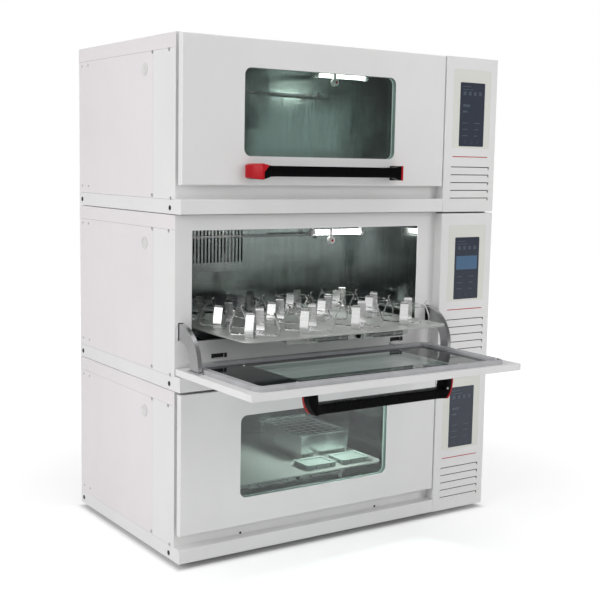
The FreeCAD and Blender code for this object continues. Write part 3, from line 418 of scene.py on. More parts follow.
@dataclass(frozen=True)
class Moulded(Finish):
    """Moulded plastic or rubber with a fine grain."""

    colour: Colour = (0.05, 0.05, 0.05)
    roughness: float = 0.4
    grain_scale: float = 700.0
    grain_height: float = 0.00005
    coat: float = 0.0
    shine: float = 0.5

    def surface(self, graph: Graph) -> Wire:
        """Fine grain over a clouded colour and sheen.

        Args:
            graph: The tree that it is built in.

        Returns:
            The shader.
        """
        grain = graph.cells(self.grain_scale)
        cloud = graph.noise(18.0, 4.0).ramp(0.35, 0.75)
        tint = graph.mix(cloud, self.colour, shade(self.colour, 0.84))
        return graph.principled({
            "Base Color": tint,
            "Roughness": cloud * 0.12 + self.roughness,
            "Normal": graph.bump(grain, self.grain_height),
            "Coat Weight": self.coat,
            "Coat Roughness": 0.08,
            "Specular IOR Level": self.shine,
        })


@dataclass(frozen=True)
class Glass(Finish):
    """Clear pane that lets lamps through."""

    tint: Colour = (0.90, 0.955, 0.94)

    def surface(self, graph: Graph) -> Wire:
        """Glass to the eye, a clear sheet to lamps.

        Args:
            graph: The tree that it is built in.

        Returns:
            The shader.
        """
        smudge = graph.noise(11.0, 4.0).ramp(0.45, 0.85)
        pane = graph.principled({
            "Base Color": self.tint,
            "Roughness": smudge * 0.03 + 0.005,
            "IOR": 1.45,
            "Transmission Weight": 1.0,
        })
        clear = graph.node("ShaderNodeBsdfTransparent", None, {"Color": (*shade(self.tint, 0.97), 1.0)})
        path = graph.node("ShaderNodeLightPath")
        lamp_ray = Wire(graph, path.outputs["Is Shadow Ray"])
        soft_ray = Wire(graph, path.outputs["Is Diffuse Ray"])
        return graph.mix_shader(lamp_ray.larger(soft_ray), pane, Wire(graph, clear.outputs[0]))


@dataclass(frozen=True)
class BlackGlass(Finish):
    """Glass printed black on its back, or the dark face of a display."""

    colour: Colour = (0.012, 0.013, 0.015)
    roughness: float = 0.05
    glow: float = 0.0

    def surface(self, graph: Graph) -> Wire:
        """Deep black with faint smears in its polish.

        Args:
            graph: The tree that it is built in.

        Returns:
            The shader.
        """
        smear = graph.noise(16.0, 5.0, (1.0, 1.0, 0.5)).ramp(0.45, 0.8)
        print_grain = graph.noise(500.0, 2.0)
        tint = graph.mix(print_grain, self.colour, shade(self.colour, 1.5))
        return graph.principled({
            "Base Color": tint,
            "Roughness": smear * 0.08 + self.roughness,
            "IOR": 1.5,
            "Emission Color": self.colour,
            "Emission Strength": self.glow,
        })


@dataclass(frozen=True)
class Glow(Finish):
    """A lit surface, such as a lamp tube or a mark on a display."""

    colour: Colour = (1.0, 0.98, 0.94)
    strength: float = 6.0

    def surface(self, graph: Graph) -> Wire:
        """Even light over a translucent white body, weaker in faint bands.

        Args:
            graph: The tree that it is built in.

        Returns:
            The shader.
        """
        band = graph.noise(24.0, 2.0).ramp(0.2, 0.8)
        light = graph.mix(band * 0.25, self.colour, shade(self.colour, 0.8))
        return graph.principled({
            "Base Color": shade(self.colour, 0.6),
            "Roughness": 0.3,
            "Emission Color": light,
            "Emission Strength": self.strength,
        })


class Paint:
    """The finishes of this object, a few of them with painted light and shade."""

    # The side paint's pinkish tint is painted reflected light; the fronts carry the same white without it.
    SIDE = PowderCoat("coat_cabinet", "cabinet_white", (0.80, 0.765, 0.78), 0.42)
    FRONT = PowderCoat("coat_front", "cabinet_white", (0.80, 0.795, 0.795), 0.40)
    POLISHED = Metal("steel_polished", "polished_steel", (0.55, 0.60, 0.585), 0.07, 0.14,
                     (1.0, 1.0, 9.0), 9.0, 0.0014, (12.0, 12.0, 1.0), 0.0002)
    # Spring steel coloured far darker than the springs: painted dark reflections on the wire loops and the
    # guide bar.
    LOOP = Metal("steel_loop", "spring_steel", (0.36, 0.36, 0.37), 0.16, 0.12, (1.0, 1.0, 30.0), 24.0)
    STAY = Metal("steel_stay", "polished_steel", (0.66, 0.66, 0.67), 0.24, 0.12, (1.0, 14.0, 14.0), 20.0)
    SPRING = Metal("steel_spring", "spring_steel", (0.74, 0.74, 0.74), 0.14, 0.12, (1.0, 1.0, 30.0), 24.0)
    TRAY = Anodised("metal_tray", "tray_metal", (0.56, 0.57, 0.55))
    DRIVE = Metal("steel_drive", "drive_steel", (0.42, 0.43, 0.45), 0.28, 0.15, (1.0, 1.0, 30.0), 40.0)
    MOTOR = PowderCoat("coat_motor", "motor_dark", (0.03, 0.03, 0.033), 0.5, 0.0001)
    CLEAR = Glass("glass_clear", "glass")
    BORDER = BlackGlass("glass_border", "glass")
    SEAL = Moulded("rubber_seal", "seal", (0.46, 0.46, 0.48), 0.55, 500.0, 0.00006)
    # The seal's own rubber made darker: painted shade in the seal's groove.
    SEAL_GROOVE_SHADE = Moulded("rubber_groove", "seal", (0.15, 0.148, 0.165), 0.6, 500.0, 0.00006)
    BLACK = Moulded("plastic_black", "handle_black", (0.003, 0.003, 0.0035), 0.26, 900.0, 0.00003, 0.0, 0.05)
    RED = Moulded("plastic_red", "cap_red", (0.46, 0.008, 0.014), 0.24, 900.0, 0.00002, 0.0, 0.14)
    FASCIA = PowderCoat("coat_fascia", "cabinet_white", (0.74, 0.745, 0.69), 0.42)
    SPACER = Moulded("plastic_spacer", "seal", (0.17, 0.22, 0.20), 0.35, 500.0, 0.00003)
    # A near-black sheet set in slits and hinge pockets as painted shade.
    RECESS_SHADE = Moulded("plastic_recess", "handle_black", (0.02, 0.02, 0.022), 0.6)
    HOLDER = Moulded("plastic_holder", "holder_plastic", (0.23, 0.27, 0.25), 0.45, 600.0, 0.00004)
    DISPLAY = BlackGlass("display_face", "screen", (0.020, 0.024, 0.034), 0.10, 0.6)
    MARK_DIM = Glow("display_dim", "screen", (0.09, 0.115, 0.15), 0.12)
    MARK_LIT = Glow("display_lit", "screen", (0.055, 0.11, 0.19), 0.6)
    LAMP = Glow("lamp_tube", "lamp", (1.0, 0.99, 0.95), 7.0)
    CAP_WHITE = Moulded("plastic_white", "plug_white", (0.74, 0.74, 0.73), 0.4, 500.0, 0.00004)
    FAN = Moulded("plastic_fan", "fan_black", (0.02, 0.02, 0.02), 0.5)
    RUBBER = Moulded("rubber_foot", "foot_rubber", (0.02, 0.02, 0.02), 0.7, 300.0, 0.0001)
    SOCKET = Moulded("plastic_socket", "inlet_black", (0.015, 0.015, 0.015), 0.45)
    SCREW = Metal("steel_screw", "spring_steel", (0.60, 0.60, 0.60), 0.22, 0.15, (1.0, 1.0, 1.0), 300.0)


# Meshes


@dataclass(frozen=True)
class Datum:
    """Cabinet coordinates: from the left side, the front jamb and the underside of the lowest module."""

    left: float
    jamb: float
    ground: float
    pitch: float
    front_proud: float = 32.0
    stack_gap: float = 2.0

    @classmethod
    def from_frame(cls) -> Datum:
        """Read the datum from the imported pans.

        Returns:
            The datum, in metres.
        """
        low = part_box("base_pan_lower")[0]
        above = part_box("base_pan_middle")[0]
        return cls(low.x, low.y + cls.front_proud * MM, low.z - cls.stack_gap * MM, above.z - low.z)

    def at(self, x: float, y: float, z: float, module: int = 0) -> Vector:
        """A point given in millimetres of a module, in metres of the frame."""
        return Vector((self.left + x * MM, self.jamb + y * MM, self.ground + z * MM + module * self.pitch))

    def move(self, module: int = 0) -> Matrix:
        """The matrix from millimetres of a module to the frame."""
        return Matrix.Translation(self.at(0.0, 0.0, 0.0, module)) @ Matrix.Scale(MM, 4)


def rounded_rectangle(box: Box, radius: float, steps: int) -> list[Pair]:
    """Points round a rectangle with arcs at its corners.

    Args:
        box: Its range in the first and in the second coordinate.
        radius: Corner radius.
        steps: Pieces in each corner arc.

    Returns:
        The points, anticlockwise.
    """
    u0, u1, v0, v1 = box[0] + radius, box[1] - radius, box[2] + radius, box[3] - radius
    points = []
    for corner, (cu, cv) in enumerate(((u1, v0), (u1, v1), (u0, v1), (u0, v0))):
        for step in range(steps + 1):
            angle = math.pi / 2 * (corner - 1 + step / steps)
            points.append((cu + radius * math.cos(angle), cv + radius * math.sin(angle)))
    return points


def circle(sides: int) -> list[Pair]:
    """Cosine and sine of evenly spaced turns."""
    turns = [2 * math.pi * side / sides for side in range(sides)]
    return [(math.cos(turn), math.sin(turn)) for turn in turns]


class Axis(Enum):
    """The direction that a flat or round form faces."""

    X = 0
    Y = 1
    Z = 2

    def point(self, u: float, v: float, depth: float) -> Vector:
        """A point with two coordinates across the axis and one along it."""
        return Vector(((depth, u, v), (u, depth, v), (u, v, depth))[self.value])


class Form:
    """A mesh in the making, in millimetres of cabinet coordinates.

    HOLD and CUT are shares of a bevel: how far in a flat face's last loop lies, and where the eased
    edge is cut. LEAST_CORNER is the smallest corner radius in millimetres.
    """

    HOLD = 2.2
    CUT = 0.3
    LEAST_CORNER = 0.05

    def __init__(self) -> None:
        """Start empty."""
        self.mesh = bmesh.new()

    def loft(self, rings: Sequence[Sequence[Vector]], caps: bool = True, ring_closed: bool = True,
             loop: bool = False) -> Form:
        """Skin rings of equal length.

        Args:
            rings: The rings, in order.
            caps: Whether the first and last ring are filled.
            ring_closed: Whether each ring's last point joins its first.
            loop: Whether the last ring joins the first.

        Returns:
            This form.
        """
        rows = [[self.mesh.verts.new(point) for point in ring] for ring in rings]
        count = len(rows[0])
        pairs = list(zip(rows, rows[1:]))
        if loop:
            pairs.append((rows[-1], rows[0]))
        for first, second in pairs:
            for index in range(count if ring_closed else count - 1):
                ahead = (index + 1) % count
                self.mesh.faces.new((first[index], first[ahead], second[ahead], second[index]))
        if caps and not loop:
            self.mesh.faces.new(list(reversed(rows[0])))
            self.mesh.faces.new(rows[-1])
        return self

    def profiled(self, axis: Axis, box: Box, radius: float, stations: Iterable[Pair],
                 steps: int, loop: bool = False) -> Form:
        """Carry a profile round a rounded rectangle.

        Args:
            axis: The way the rectangle faces.
            box: The rectangle.
            radius: Its corner radius.
            stations: Inset and level of each point of the profile.
            steps: Pieces in each corner arc.
            loop: Whether the profile closes, as in a frame.

        Returns:
            This form.
        """
        u0, u1, v0, v1 = box
        rings = []
        for inset, level in stations:
            inner = (u0 + inset, u1 - inset, v0 + inset, v1 - inset)
            outline = rounded_rectangle(inner, max(radius - inset, self.LEAST_CORNER), steps)
            rings.append([axis.point(u, v, level) for u, v in outline])
        return self.loft(rings, loop=loop)

    def plate(self, axis: Axis, u: Pair, v: Pair, depth: Pair,
              radius: float = 2.0, bevel: float = 0.4, steps: int = 6) -> Form:
        """A slab with rounded corners and eased edges.

        Args:
            axis: The way its flat faces look.
            u: First range across the axis.
            v: Second range across the axis.
            depth: Range along the axis.
            radius: Corner radius.
            bevel: Width of the eased edge.
            steps: Pieces in each corner arc.

        Returns:
            This form.
        """
        low, high = depth
        cut = bevel * self.CUT
        rim = ((bevel * self.HOLD, 0.0), (bevel, 0.0), (cut, cut), (0.0, bevel))
        stations = [(inset, low + rise) for inset, rise in rim]
        stations += [(inset, high - rise) for inset, rise in reversed(rim)]
        return self.profiled(axis, (*u, *v), radius, stations, steps)

    def turned(self, axis: Axis, centre: Vector, profile: Sequence[Pair], sides: int = 24) -> Form:
        """A round form from a profile of radius and height along the axis.

        Args:
            axis: The axis of revolution.
            centre: Where the profile's height is 0.
            profile: Radius and height pairs.
            sides: Pieces round the axis.

        Returns:
            This form.
        """
        turns = circle(sides)
        return self.loft([[centre + axis.point(radius * cos, radius * sin, height) for cos, sin in turns]
                          for radius, height in profile])

    def tube(self, path: Sequence[Vector], radius: float, sides: int = 10, loop: bool = False) -> Form:
        """A round wire along a path.

        Args:
            path: The points of its middle line.
            radius: The wire's radius.
            sides: Pieces round it.
            loop: Whether the path closes.

        Returns:
            This form.
        """
        rings = []
        count = len(path)
        up = Vector((0.0, 0.0, 1.0))
        for index, point in enumerate(path):
            before = path[index - 1] if index or loop else point
            after = path[(index + 1) % count] if index < count - 1 or loop else point
            along = (after - before).normalized()
            if index == 0 and abs(along.dot(up)) > 0.9:
                up = Vector((1.0, 0.0, 0.0))
            side = along.cross(up).normalized()
            up = side.cross(along).normalized()
            rings.append([point + (side * cos + up * sin) * radius for cos, sin in circle(sides)])
        return self.loft(rings, loop=loop)

    def join(self, part: Form, matrix: Matrix) -> None:
        """Take in another form's faces and use it up.

        Args:
            part: The other form.
            matrix: Where it goes.
        """
        bmesh.ops.transform(part.mesh, matrix=matrix, verts=part.mesh.verts)
        held = bpy.data.meshes.new("held")
        part.mesh.to_mesh(held)
        part.mesh.free()
        self.mesh.from_mesh(held)
        bpy.data.meshes.remove(held)

    def data(self, name: str, matrix: Matrix) -> bpy.types.Mesh:
        """Finish the mesh.

        Args:
            name: The mesh's name.
            matrix: From this form's millimetres to the frame.

        Returns:
            The mesh, with smooth faces and sharp corners.
        """
        bmesh.ops.transform(self.mesh, matrix=matrix, verts=self.mesh.verts)
        bmesh.ops.recalc_face_normals(self.mesh, faces=self.mesh.faces)
        made = bpy.data.meshes.new(name)
        self.mesh.to_mesh(made)
        self.mesh.free()
        made.shade_smooth()
        made.set_sharp_from_angle(angle=math.radians(SHARP_ANGLE))
        return made


def put_in_scene(name: str, data: bpy.types.ID) -> bpy.types.Object:
    """Link a new object to the scene.

    Args:
        name: Its name.
        data: What it shows: a mesh, a camera or a lamp.

    Returns:
        The object.
    """
    made = bpy.data.objects.new(name, data)
    bpy.context.scene.collection.objects.link(made)
    return made


def add_piece(name: str, mesh: bpy.types.Mesh, body: str, finish: Finish,
              replaced: Sequence[str] = ()) -> bpy.types.Object:
    """Put a finished mesh into the scene on a body.

    Args:
        name: The piece's name.
        mesh: Its mesh, in the frame.
        body: The body it moves with.
        finish: Its finish.
        replaced: Construction nodes it stands for.

    Returns:
        The object.
    """
    made = put_in_scene(name, mesh)
    mesh.materials.append(finish.material())
    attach(made, body)
    if replaced:
        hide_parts(*replaced)
    log.info("piece %s on %s", name, body)
    return made


def recolour(piece: bpy.types.Object, pose: Matrix, point: Sequence[float], normal: Vector, finish: Finish,
             limit: float) -> None:
    """Give the part of a piece beyond a plane another finish.

    Args:
        piece: The piece.
        pose: From millimetres to the frame.
        point: A point of the plane, in millimetres.
        normal: The way from the plane to the repainted part.
        finish: Its finish.
        limit: Only what is left of this x is repainted.
    """
    centre = pose @ Vector(point)
    way = (pose.to_3x3() @ normal).normalized()
    edge = (pose @ Vector((limit, 0.0, 0.0))).x
    shape = bmesh.new()
    shape.from_mesh(piece.data)
    everything = [*shape.verts, *shape.edges, *shape.faces]
    bmesh.ops.bisect_plane(shape, geom=everything, plane_co=centre, plane_no=way, dist=1e-6)
    piece.data.materials.append(finish.material())
    for face in shape.faces:
        middle = face.calc_center_median()
        if (middle - centre).dot(way) > 0 and middle.x < edge:
            face.material_index = 1
    shape.to_mesh(piece.data)
    shape.free()


# Sub-assemblies


@dataclass
class Assembly:
    """What every sub-assembly needs."""

    frame: Frame
    datum: Datum

    def build(self) -> None:
        """Dress the assembly's nodes and add its pieces."""
        raise NotImplementedError

    def pose(self, module: int) -> Matrix:
        """From millimetres of a module to the rest place in the frame."""
        return self.datum.move(module)

    def body(self, module: int) -> str:
        """The body that carries the pieces of a module."""
        return CABINET

    def dress(self, finish: Finish, *nodes: str) -> None:
        """Give construction nodes their finish.

        Args:
            finish: The finish.
            nodes: Their names, without the place for one that each module has.
        """
        known = self.frame["nodes"]
        for node in nodes:
            for name in [node] if node in known else [f"{node}_{place}" for place in PLACES]:
                known[name].data.materials.clear()
                known[name].data.materials.append(finish.material())
                log.info("dressed %s", name)

    def add(self, stem: str, form: Form, finish: Finish, module: int = 0, stands_for: str = "",
            single: bool = False) -> bpy.types.Object:
        """Put a finished form into the scene as a piece.

        Args:
            stem: The piece's name, without the module's place.
            form: Its form.
            finish: Its finish.
            module: The module that it belongs to.
            stands_for: The construction node that it replaces, if any, named in the same way.
            single: Whether there is only one, so that the names have no place.

        Returns:
            The object.
        """
        tail = "" if single else f"_{PLACES[module]}"
        mesh = form.data(stem, self.pose(module))
        replaced = [stands_for + tail] if stands_for else []
        return add_piece(stem + tail, mesh, self.body(module), finish, replaced)


@dataclass
class Shell(Assembly):
    """Pans, decks, panels and the small hardware on them."""

    width: float = 1100.0
    depth: float = 630.0
    screw_radius: float = 5.0
    small_screw_radius: float = 3.2
    plug_radius: float = 7.0
    side_screws: Points = ((24.0, 43.0), (35.0, 427.0), (132.0, 427.0), (134.0, 48.0))
    small_side_screws: Points = ((605.0, 61.0), (561.0, 61.0), (605.0, 418.0), (561.0, 418.0))
    stack_plugs: Points = ((29.0, 18.0), (609.0, 20.0))
    screw_rise: float = 1.4
    small_screw_rise: float = 1.0
    plug_rise: float = 1.2
    flush_share: float = 0.03
    back_range: Pair = (40.5, 430.5)
    back_screw_columns: int = 6
    back_screw_inset: float = 14.0
    sill_screws: Pair = (210.0, 686.0)
    sill_height: float = 46.0
    sill_face: float = -0.05
    sill_screw_radius: float = 3.52
    inlet: Pair = (1010.0, 80.0)
    inlet_pins: Points = ((-7.0, -1.5), (0.0, 2.5), (7.0, -1.5))
    pin_depth: Pair = (617.0, 629.0)

    def build(self) -> None:
        """Dress the sheets and add the hardware."""
        self.dress(Paint.FRONT, "base_pan", "front_frame")
        self.dress(Paint.SIDE, "top_decks", "side_panels", "back_panels")
        self.dress(Paint.RUBBER, "feet")
        self.dress(Paint.SOCKET, "power_inlets")
        self.dress(Paint.CAP_WHITE, "port_plugs")
        self.ledge_screws()
        for module in MODULES:
            self.side_hardware(module)
            self.back_hardware(module)
            self.flat_pins(module)

    def button(self, form: Form, axis: Axis, centre: Vector, radius: float, height: float,
               way: float = 1.0) -> None:
        """Add one domed screw head with a driving recess.

        Args:
            form: The form it joins.
            axis: The way it faces.
            centre: Its place on the sheet.
            radius: Its radius.
            height: How far it stands out.
            way: 1 or -1 along the axis.
        """
        recess = radius * 0.42
        profile = [(radius, 0.0), (radius * 0.96, height * 0.5), (radius * 0.72, height * 0.92),
                   (recess, height), (recess * 0.8, height * 0.35), (recess * 0.1, height * 0.3)]
        form.turned(axis, centre, [(r, h * way) for r, h in profile], 18)

    def side_hardware(self, module: int) -> None:
        """Screws and stacking plugs on both sides, flush at the right where the object's box ends.

        Args:
            module: The module that it belongs to.
        """
        heads = Form()
        plugs = Form()
        kinds = ((heads, self.side_screws, self.screw_radius, self.screw_rise),
                 (heads, self.small_side_screws, self.small_screw_radius, self.small_screw_rise),
                 (plugs, self.stack_plugs, self.plug_radius, self.plug_rise))
        for x, way, share in ((0.0, -1.0, 1.0), (self.width, 1.0, self.flush_share)):
            for form, places, radius, rise in kinds:
                for y, z in places:
                    self.button(form, Axis.X, Vector((x, y, z)), radius, rise * share, way)
        self.add("side_screws", heads, Paint.SCREW, module)
        self.add("stack_plugs", plugs, Paint.SOCKET, module)

    def ledge_screws(self) -> None:
        """Two small dark screws in the sill under the lowest door."""
        form = Form()
        for x in self.sill_screws:
            place = Vector((x, self.sill_face, self.sill_height))
            self.button(form, Axis.Y, place, self.sill_screw_radius, self.small_screw_rise, -1.0)
        self.add("sill_screws", form, Paint.SOCKET, single=True)

    def back_hardware(self, module: int) -> None:
        """Screws along the top and bottom of a back panel.

        Args:
            module: The module that it belongs to.
        """
        heads = Form()
        low, high = self.back_range[0] + self.back_screw_inset, self.back_range[1] - self.back_screw_inset
        step = (self.width - 4 * self.back_screw_inset) / (self.back_screw_columns - 1)
        for column in range(self.back_screw_columns):
            x = 2 * self.back_screw_inset + column * step
            for z in (low, high):
                place = Vector((x, self.depth, z))
                self.button(heads, Axis.Y, place, self.small_screw_radius, self.small_screw_rise)
        self.add("back_screws", heads, Paint.SCREW, module)

    def flat_pins(self, module: int) -> None:
        """Three flat pins in the mains inlet.

        Args:
            module: The module that it belongs to.
        """
        pins = Form()
        for dx, dz in self.inlet_pins:
            x = self.inlet[0] + dx
            z = self.inlet[1] + dz
            pins.plate(Axis.Y, (x - 1.0, x + 1.0), (z - 2.0, z + 2.0), self.pin_depth, 0.4, 0.2, 2)
        self.add("inlet_pins", pins, Paint.SCREW, module)


@dataclass
class Column(Assembly):
    """Control column with its display."""

    left: float = 949.0
    right: float = 1049.0
    bottom: float = 201.0
    top: float = 393.0
    face: float = -32.0
    mark_lift: float = 0.12
    stripe_left: float = 925.0
    stripe_right: float = 1069.0
    stripe_height: float = 168.0
    stripe_width: float = 2.5
    fascia_range: Box = (922.6, 1072.4, 195.6, 430.4)
    louvre_range: Pair = (921.4, 1076.6)
    fascia_depth: Pair = (0.3, 0.62)
    fascia_gap: float = 0.4
    fascia_corner: float = 3.0
    key_radius: float = 4.2
    key_wire: float = 0.35
    key_sides: int = 28
    louvre_first: float = 45.0
    louvre_pitch: float = 23.6
    louvre_count: int = 5
    louvre_rise: float = 11.0
    louvre_slit: float = 2.6
    louvre_notch: float = 7.0
    slit_depth: Pair = (1.6, 3.0)
    notch_depth: Pair = (0.9, 2.2)
    hood_back: float = 1.4
    stripe_depth: Pair = (-0.15, 0.1)

    def build(self) -> None:
        """Dress the casing and build each display."""
        self.dress(Paint.FRONT, "control_column")
        self.dress(Paint.DISPLAY, "touchscreens")
        for module in MODULES:
            self.display(module)
            self.fascia(module)
            self.stripe(module)
            self.louvre_shades(module)

    def depths(self, behind: Pair) -> Pair:
        """Two depths behind the casing's face, as places in the cabinet."""
        return self.face + behind[0], self.face + behind[1]

    def bar(self, form: Form, u0: float, u1: float, v0: float, v1: float) -> None:
        """Add one flat mark, given in shares of the display's width and height.

        Args:
            form: The form it joins.
            u0: Its left end.
            u1: Its right end.
            v0: Its lower edge.
            v1: Its upper edge.
        """
        width = self.right - self.left
        height = self.top - self.bottom
        form.plate(Axis.Y, (self.left + u0 * width, self.left + u1 * width),
                   (self.bottom + v0 * height, self.bottom + v1 * height),
                   self.depths((-self.mark_lift, self.mark_lift)), 0.8, 0.05, 2)

    def ring(self, form: Form, u: float, v: float, radius: float) -> None:
        """Add a thin ring, such as a touch key's outline.

        Args:
            form: The form it joins.
            u: Its centre's share of the display's width.
            v: Its centre's share of the display's height.
            radius: Its radius.
        """
        width = self.right - self.left
        height = self.top - self.bottom
        centre = Vector((self.left + u * width, self.face, self.bottom + v * height))
        path = [centre + Vector((radius * cos, 0.0, radius * sin)) for cos, sin in circle(self.key_sides)]
        form.tube(path, self.key_wire, 5, True)

    def display(self, module: int) -> None:
        """Plain bars, squares and rings such as any touch panel shows, without lettering.

        Args:
            module: The module that it belongs to.
        """
        dim = Form()
        for row, share in enumerate((0.93, 0.885)):
            self.bar(dim, 0.10, 0.42 + 0.1 * row, share, share + 0.012)
        for column in range(4):
            self.bar(dim, 0.12 + 0.21 * column, 0.24 + 0.21 * column, 0.80, 0.86)
        for row in range(3):
            level = 0.36 - 0.10 * row
            self.bar(dim, 0.12, 0.34, level, level + 0.015)
            self.bar(dim, 0.60, 0.82 - 0.04 * row, level, level + 0.015)
        for column in range(3):
            self.ring(dim, 0.25 + 0.25 * column, 0.07, self.key_radius)
        self.add("display_marks", dim, Paint.MARK_DIM, module)
        lit = Form()
        if module == OPEN_MODULE:
            self.bar(lit, 0.07, 0.93, 0.48, 0.70)
            paint = Paint.MARK_LIT
        else:
            self.bar(lit, 0.12, 0.40, 0.62, 0.66)
            self.bar(lit, 0.12, 0.30, 0.53, 0.56)
            paint = Paint.MARK_DIM
        self.add("display_lit", lit, paint, module)

    def fascia(self, module: int) -> None:
        """A faintly yellowed plastic sheet round the display, open where the display stands.

        Args:
            module: The module that it belongs to.
        """
        front, back = self.depths(self.fascia_depth)
        gap = self.fascia_gap
        opening = (self.left - gap, self.right + gap, self.bottom - gap, self.top + gap)
        hole = rounded_rectangle(opening, 1.0, 6)
        edge = rounded_rectangle(self.fascia_range, self.fascia_corner, 6)
        levels = ((hole, back), (edge, back), (edge, front), (hole, front))
        rings = [[Axis.Y.point(u, v, level) for u, v in ring] for ring, level in levels]
        form = Form().loft(rings, loop=True)
        self.add("fascia", form, Paint.FASCIA, module)

    def louvre_shades(self, module: int) -> None:
        """White hoods pressed out to the casing's face, with a dark plate in the slit over each and in its
        notch, as painted shade.

        Args:
            module: The module that it belongs to.
        """
        slits = Form()
        hoods = Form()
        x0, x1 = self.louvre_range
        end = x1 - self.louvre_notch * 0.5
        for index in range(self.louvre_count):
            top = self.louvre_first + index * self.louvre_pitch
            foot = top - self.louvre_rise
            slit = top - self.louvre_slit
            # Dark plates in the slit and the notch: painted shade.
            slits.plate(Axis.Y, (x0, x1), (slit - 1.0, top - 0.3), self.depths(self.slit_depth), 0.5, 0.2, 2)
            slits.plate(Axis.Y, (end, x1), (top - self.louvre_notch, slit + 0.5),
                        self.depths(self.notch_depth), 0.5, 0.2, 2)
            rings = []
            for depth, low, high in ((0.35, 0.4, 0.0), (0.15, 0.9, -0.6), (0.15, 1.6, -1.4)):
                corners = ((x0 + low, foot + low), (end - low, foot + low), (end - low, slit + high),
                           (x0 + low, slit + high))
                rings.append([Vector((x, self.face + depth, z)) for x, z in corners])
            back = [Vector((p.x, self.face + self.hood_back, p.z)) for p in rings[0]]
            hoods.loft([back, *rings])
        self.add("louvre_slits", slits, Paint.RECESS_SHADE, module)
        self.add("louvre_hoods", hoods, Paint.FRONT, module)

    def stripe(self, module: int) -> None:
        """A plain thin red stripe above the louvres.

        Args:
            module: The module that it belongs to.
        """
        form = Form()
        top = self.stripe_height + self.stripe_width
        form.plate(Axis.Y, (self.stripe_left, self.stripe_right), (self.stripe_height, top),
                   self.depths(self.stripe_depth), 1.0, 0.05, 3)
        self.add("stripe", form, Paint.RED, module)


@dataclass
class Chamber(Assembly):
    """Polished liner with its lamp, sensor, air duct and fan."""

    lamp_left: float = 560.0
    lamp_length: float = 170.0
    lamp_y: float = 170.0
    lamp_z: float = 403.8
    sensor: Triple = (606.0, 137.0, 380.8)
    tube_radius: float = 8.0
    socket_radius: float = 11.2
    socket_length: float = 14.2
    stem: float = 4.6
    ceiling: float = 433.8
    guide_x: Pair = (46.2, 828.8)
    guide_y: Pair = (556.0, 560.0)
    guide_z: Pair = (363.8, 371.8)
    lug_front: float = 12.0
    lug_back: float = 4.0
    lug_rise: float = 9.0
    lug_sheet: float = 1.8
    lug_screw_lift: float = 9.5

    def build(self) -> None:
        """Dress the liner and build the lamps."""
        self.dress(Paint.POLISHED, "chamber", "duct_covers")
        self.dress(Paint.DRIVE, "heaters")
        self.dress(Paint.CAP_WHITE, "chamber_sensors")
        self.dress(Paint.FAN, "fan")
        tubes = Form()
        sockets = Form()
        for module in MODULES:
            lift = Matrix.Translation(Vector((0.0, 0.0, module * self.datum.pitch / MM)))
            self.lamp(tubes, sockets, lift)
        self.add("lamp_tubes", tubes, Paint.LAMP, 0, "chamber_lamps", single=True)
        self.add("lamp_sockets", sockets, Paint.CAP_WHITE, single=True)
        for module in MODULES:
            self.sensor_face(module)
            self.guide_bar(module)

    def guide_bar(self, module: int) -> None:
        """Flat bar from wall to wall in front of the duct, with a screwed lug at each end.

        Args:
            module: The module that it belongs to.
        """
        (x0, x1), (y0, y1), (z0, z1) = self.guide_x, self.guide_y, self.guide_z
        form = Form()
        form.plate(Axis.Y, (x0 + 0.2, x1 - 0.2), self.guide_z, self.guide_y, 0.8, 0.5, 2)
        middle = (z0 + z1) / 2
        for x, way in ((x0, 1.0), (x1, -1.0)):
            face = x + way * self.lug_sheet
            form.plate(Axis.X, (y0 - self.lug_front, y1 + self.lug_back),
                       (z0 - self.lug_rise, z1 + self.lug_rise),
                       tuple(sorted((x + way * 0.1, face))), 3.0, 0.4, 4)
            for lift in (-self.lug_screw_lift, self.lug_screw_lift):
                head = Vector((face, y0 - self.lug_front / 2, middle + lift))
                form.turned(Axis.X, head, [(2.8, 0.0), (2.7, way * 0.8), (1.9, way * 1.5), (1.0, way * 1.6),
                                           (0.9, way * 0.8), (0.1, way * 0.8)], 14)
        self.add("guide_bar", form, Paint.LOOP, module)

    def lamp(self, tubes: Form, sockets: Form, lift: Matrix) -> None:
        """Add one module's tube and its two sockets.

        Args:
            tubes: The form of all tubes.
            sockets: The form of all sockets.
            lift: From the lowest module to this one.
        """
        end = self.lamp_left + self.lamp_length
        start = lift @ Vector((self.lamp_left, self.lamp_y, self.lamp_z))
        r = self.tube_radius
        length = self.lamp_length
        tubes.turned(Axis.X, start, [(r * 0.8, 0.0), (r, 2.0), (r, length - 2.0), (r * 0.8, length)], 20)
        for x, way in ((self.lamp_left, -1.0), (end, 1.0)):
            foot = lift @ Vector((x, self.lamp_y, self.lamp_z))
            big = self.socket_radius
            run = self.socket_length
            profile = [(big * 0.75, way * -1.0), (big * 0.95, 0.0), (big, way * 2.0),
                       (big, way * (run - 3.0)), (big * 0.8, way * run)]
            sockets.turned(Axis.X, foot, profile, 20)
            low = foot.z + big * 0.6
            middle = foot.x + way * run / 2
            top = foot.z - self.lamp_z + self.ceiling
            sockets.plate(Axis.Z, (middle - self.stem, middle + self.stem),
                          (foot.y - self.stem, foot.y + self.stem), (low, top), 1.5, 0.4, 4)

    def sensor_face(self, module: int) -> None:
        """A reddish grille disc on the sensor's nose.

        Args:
            module: The module that it belongs to.
        """
        form = Form()
        centre = Vector(self.sensor)
        form.turned(Axis.Y, centre, [(3.6, -0.4), (3.9, -0.6), (3.2, -1.2), (0.4, -1.4)], 20)
        self.add("sensor_face", form, Paint.RED, module)


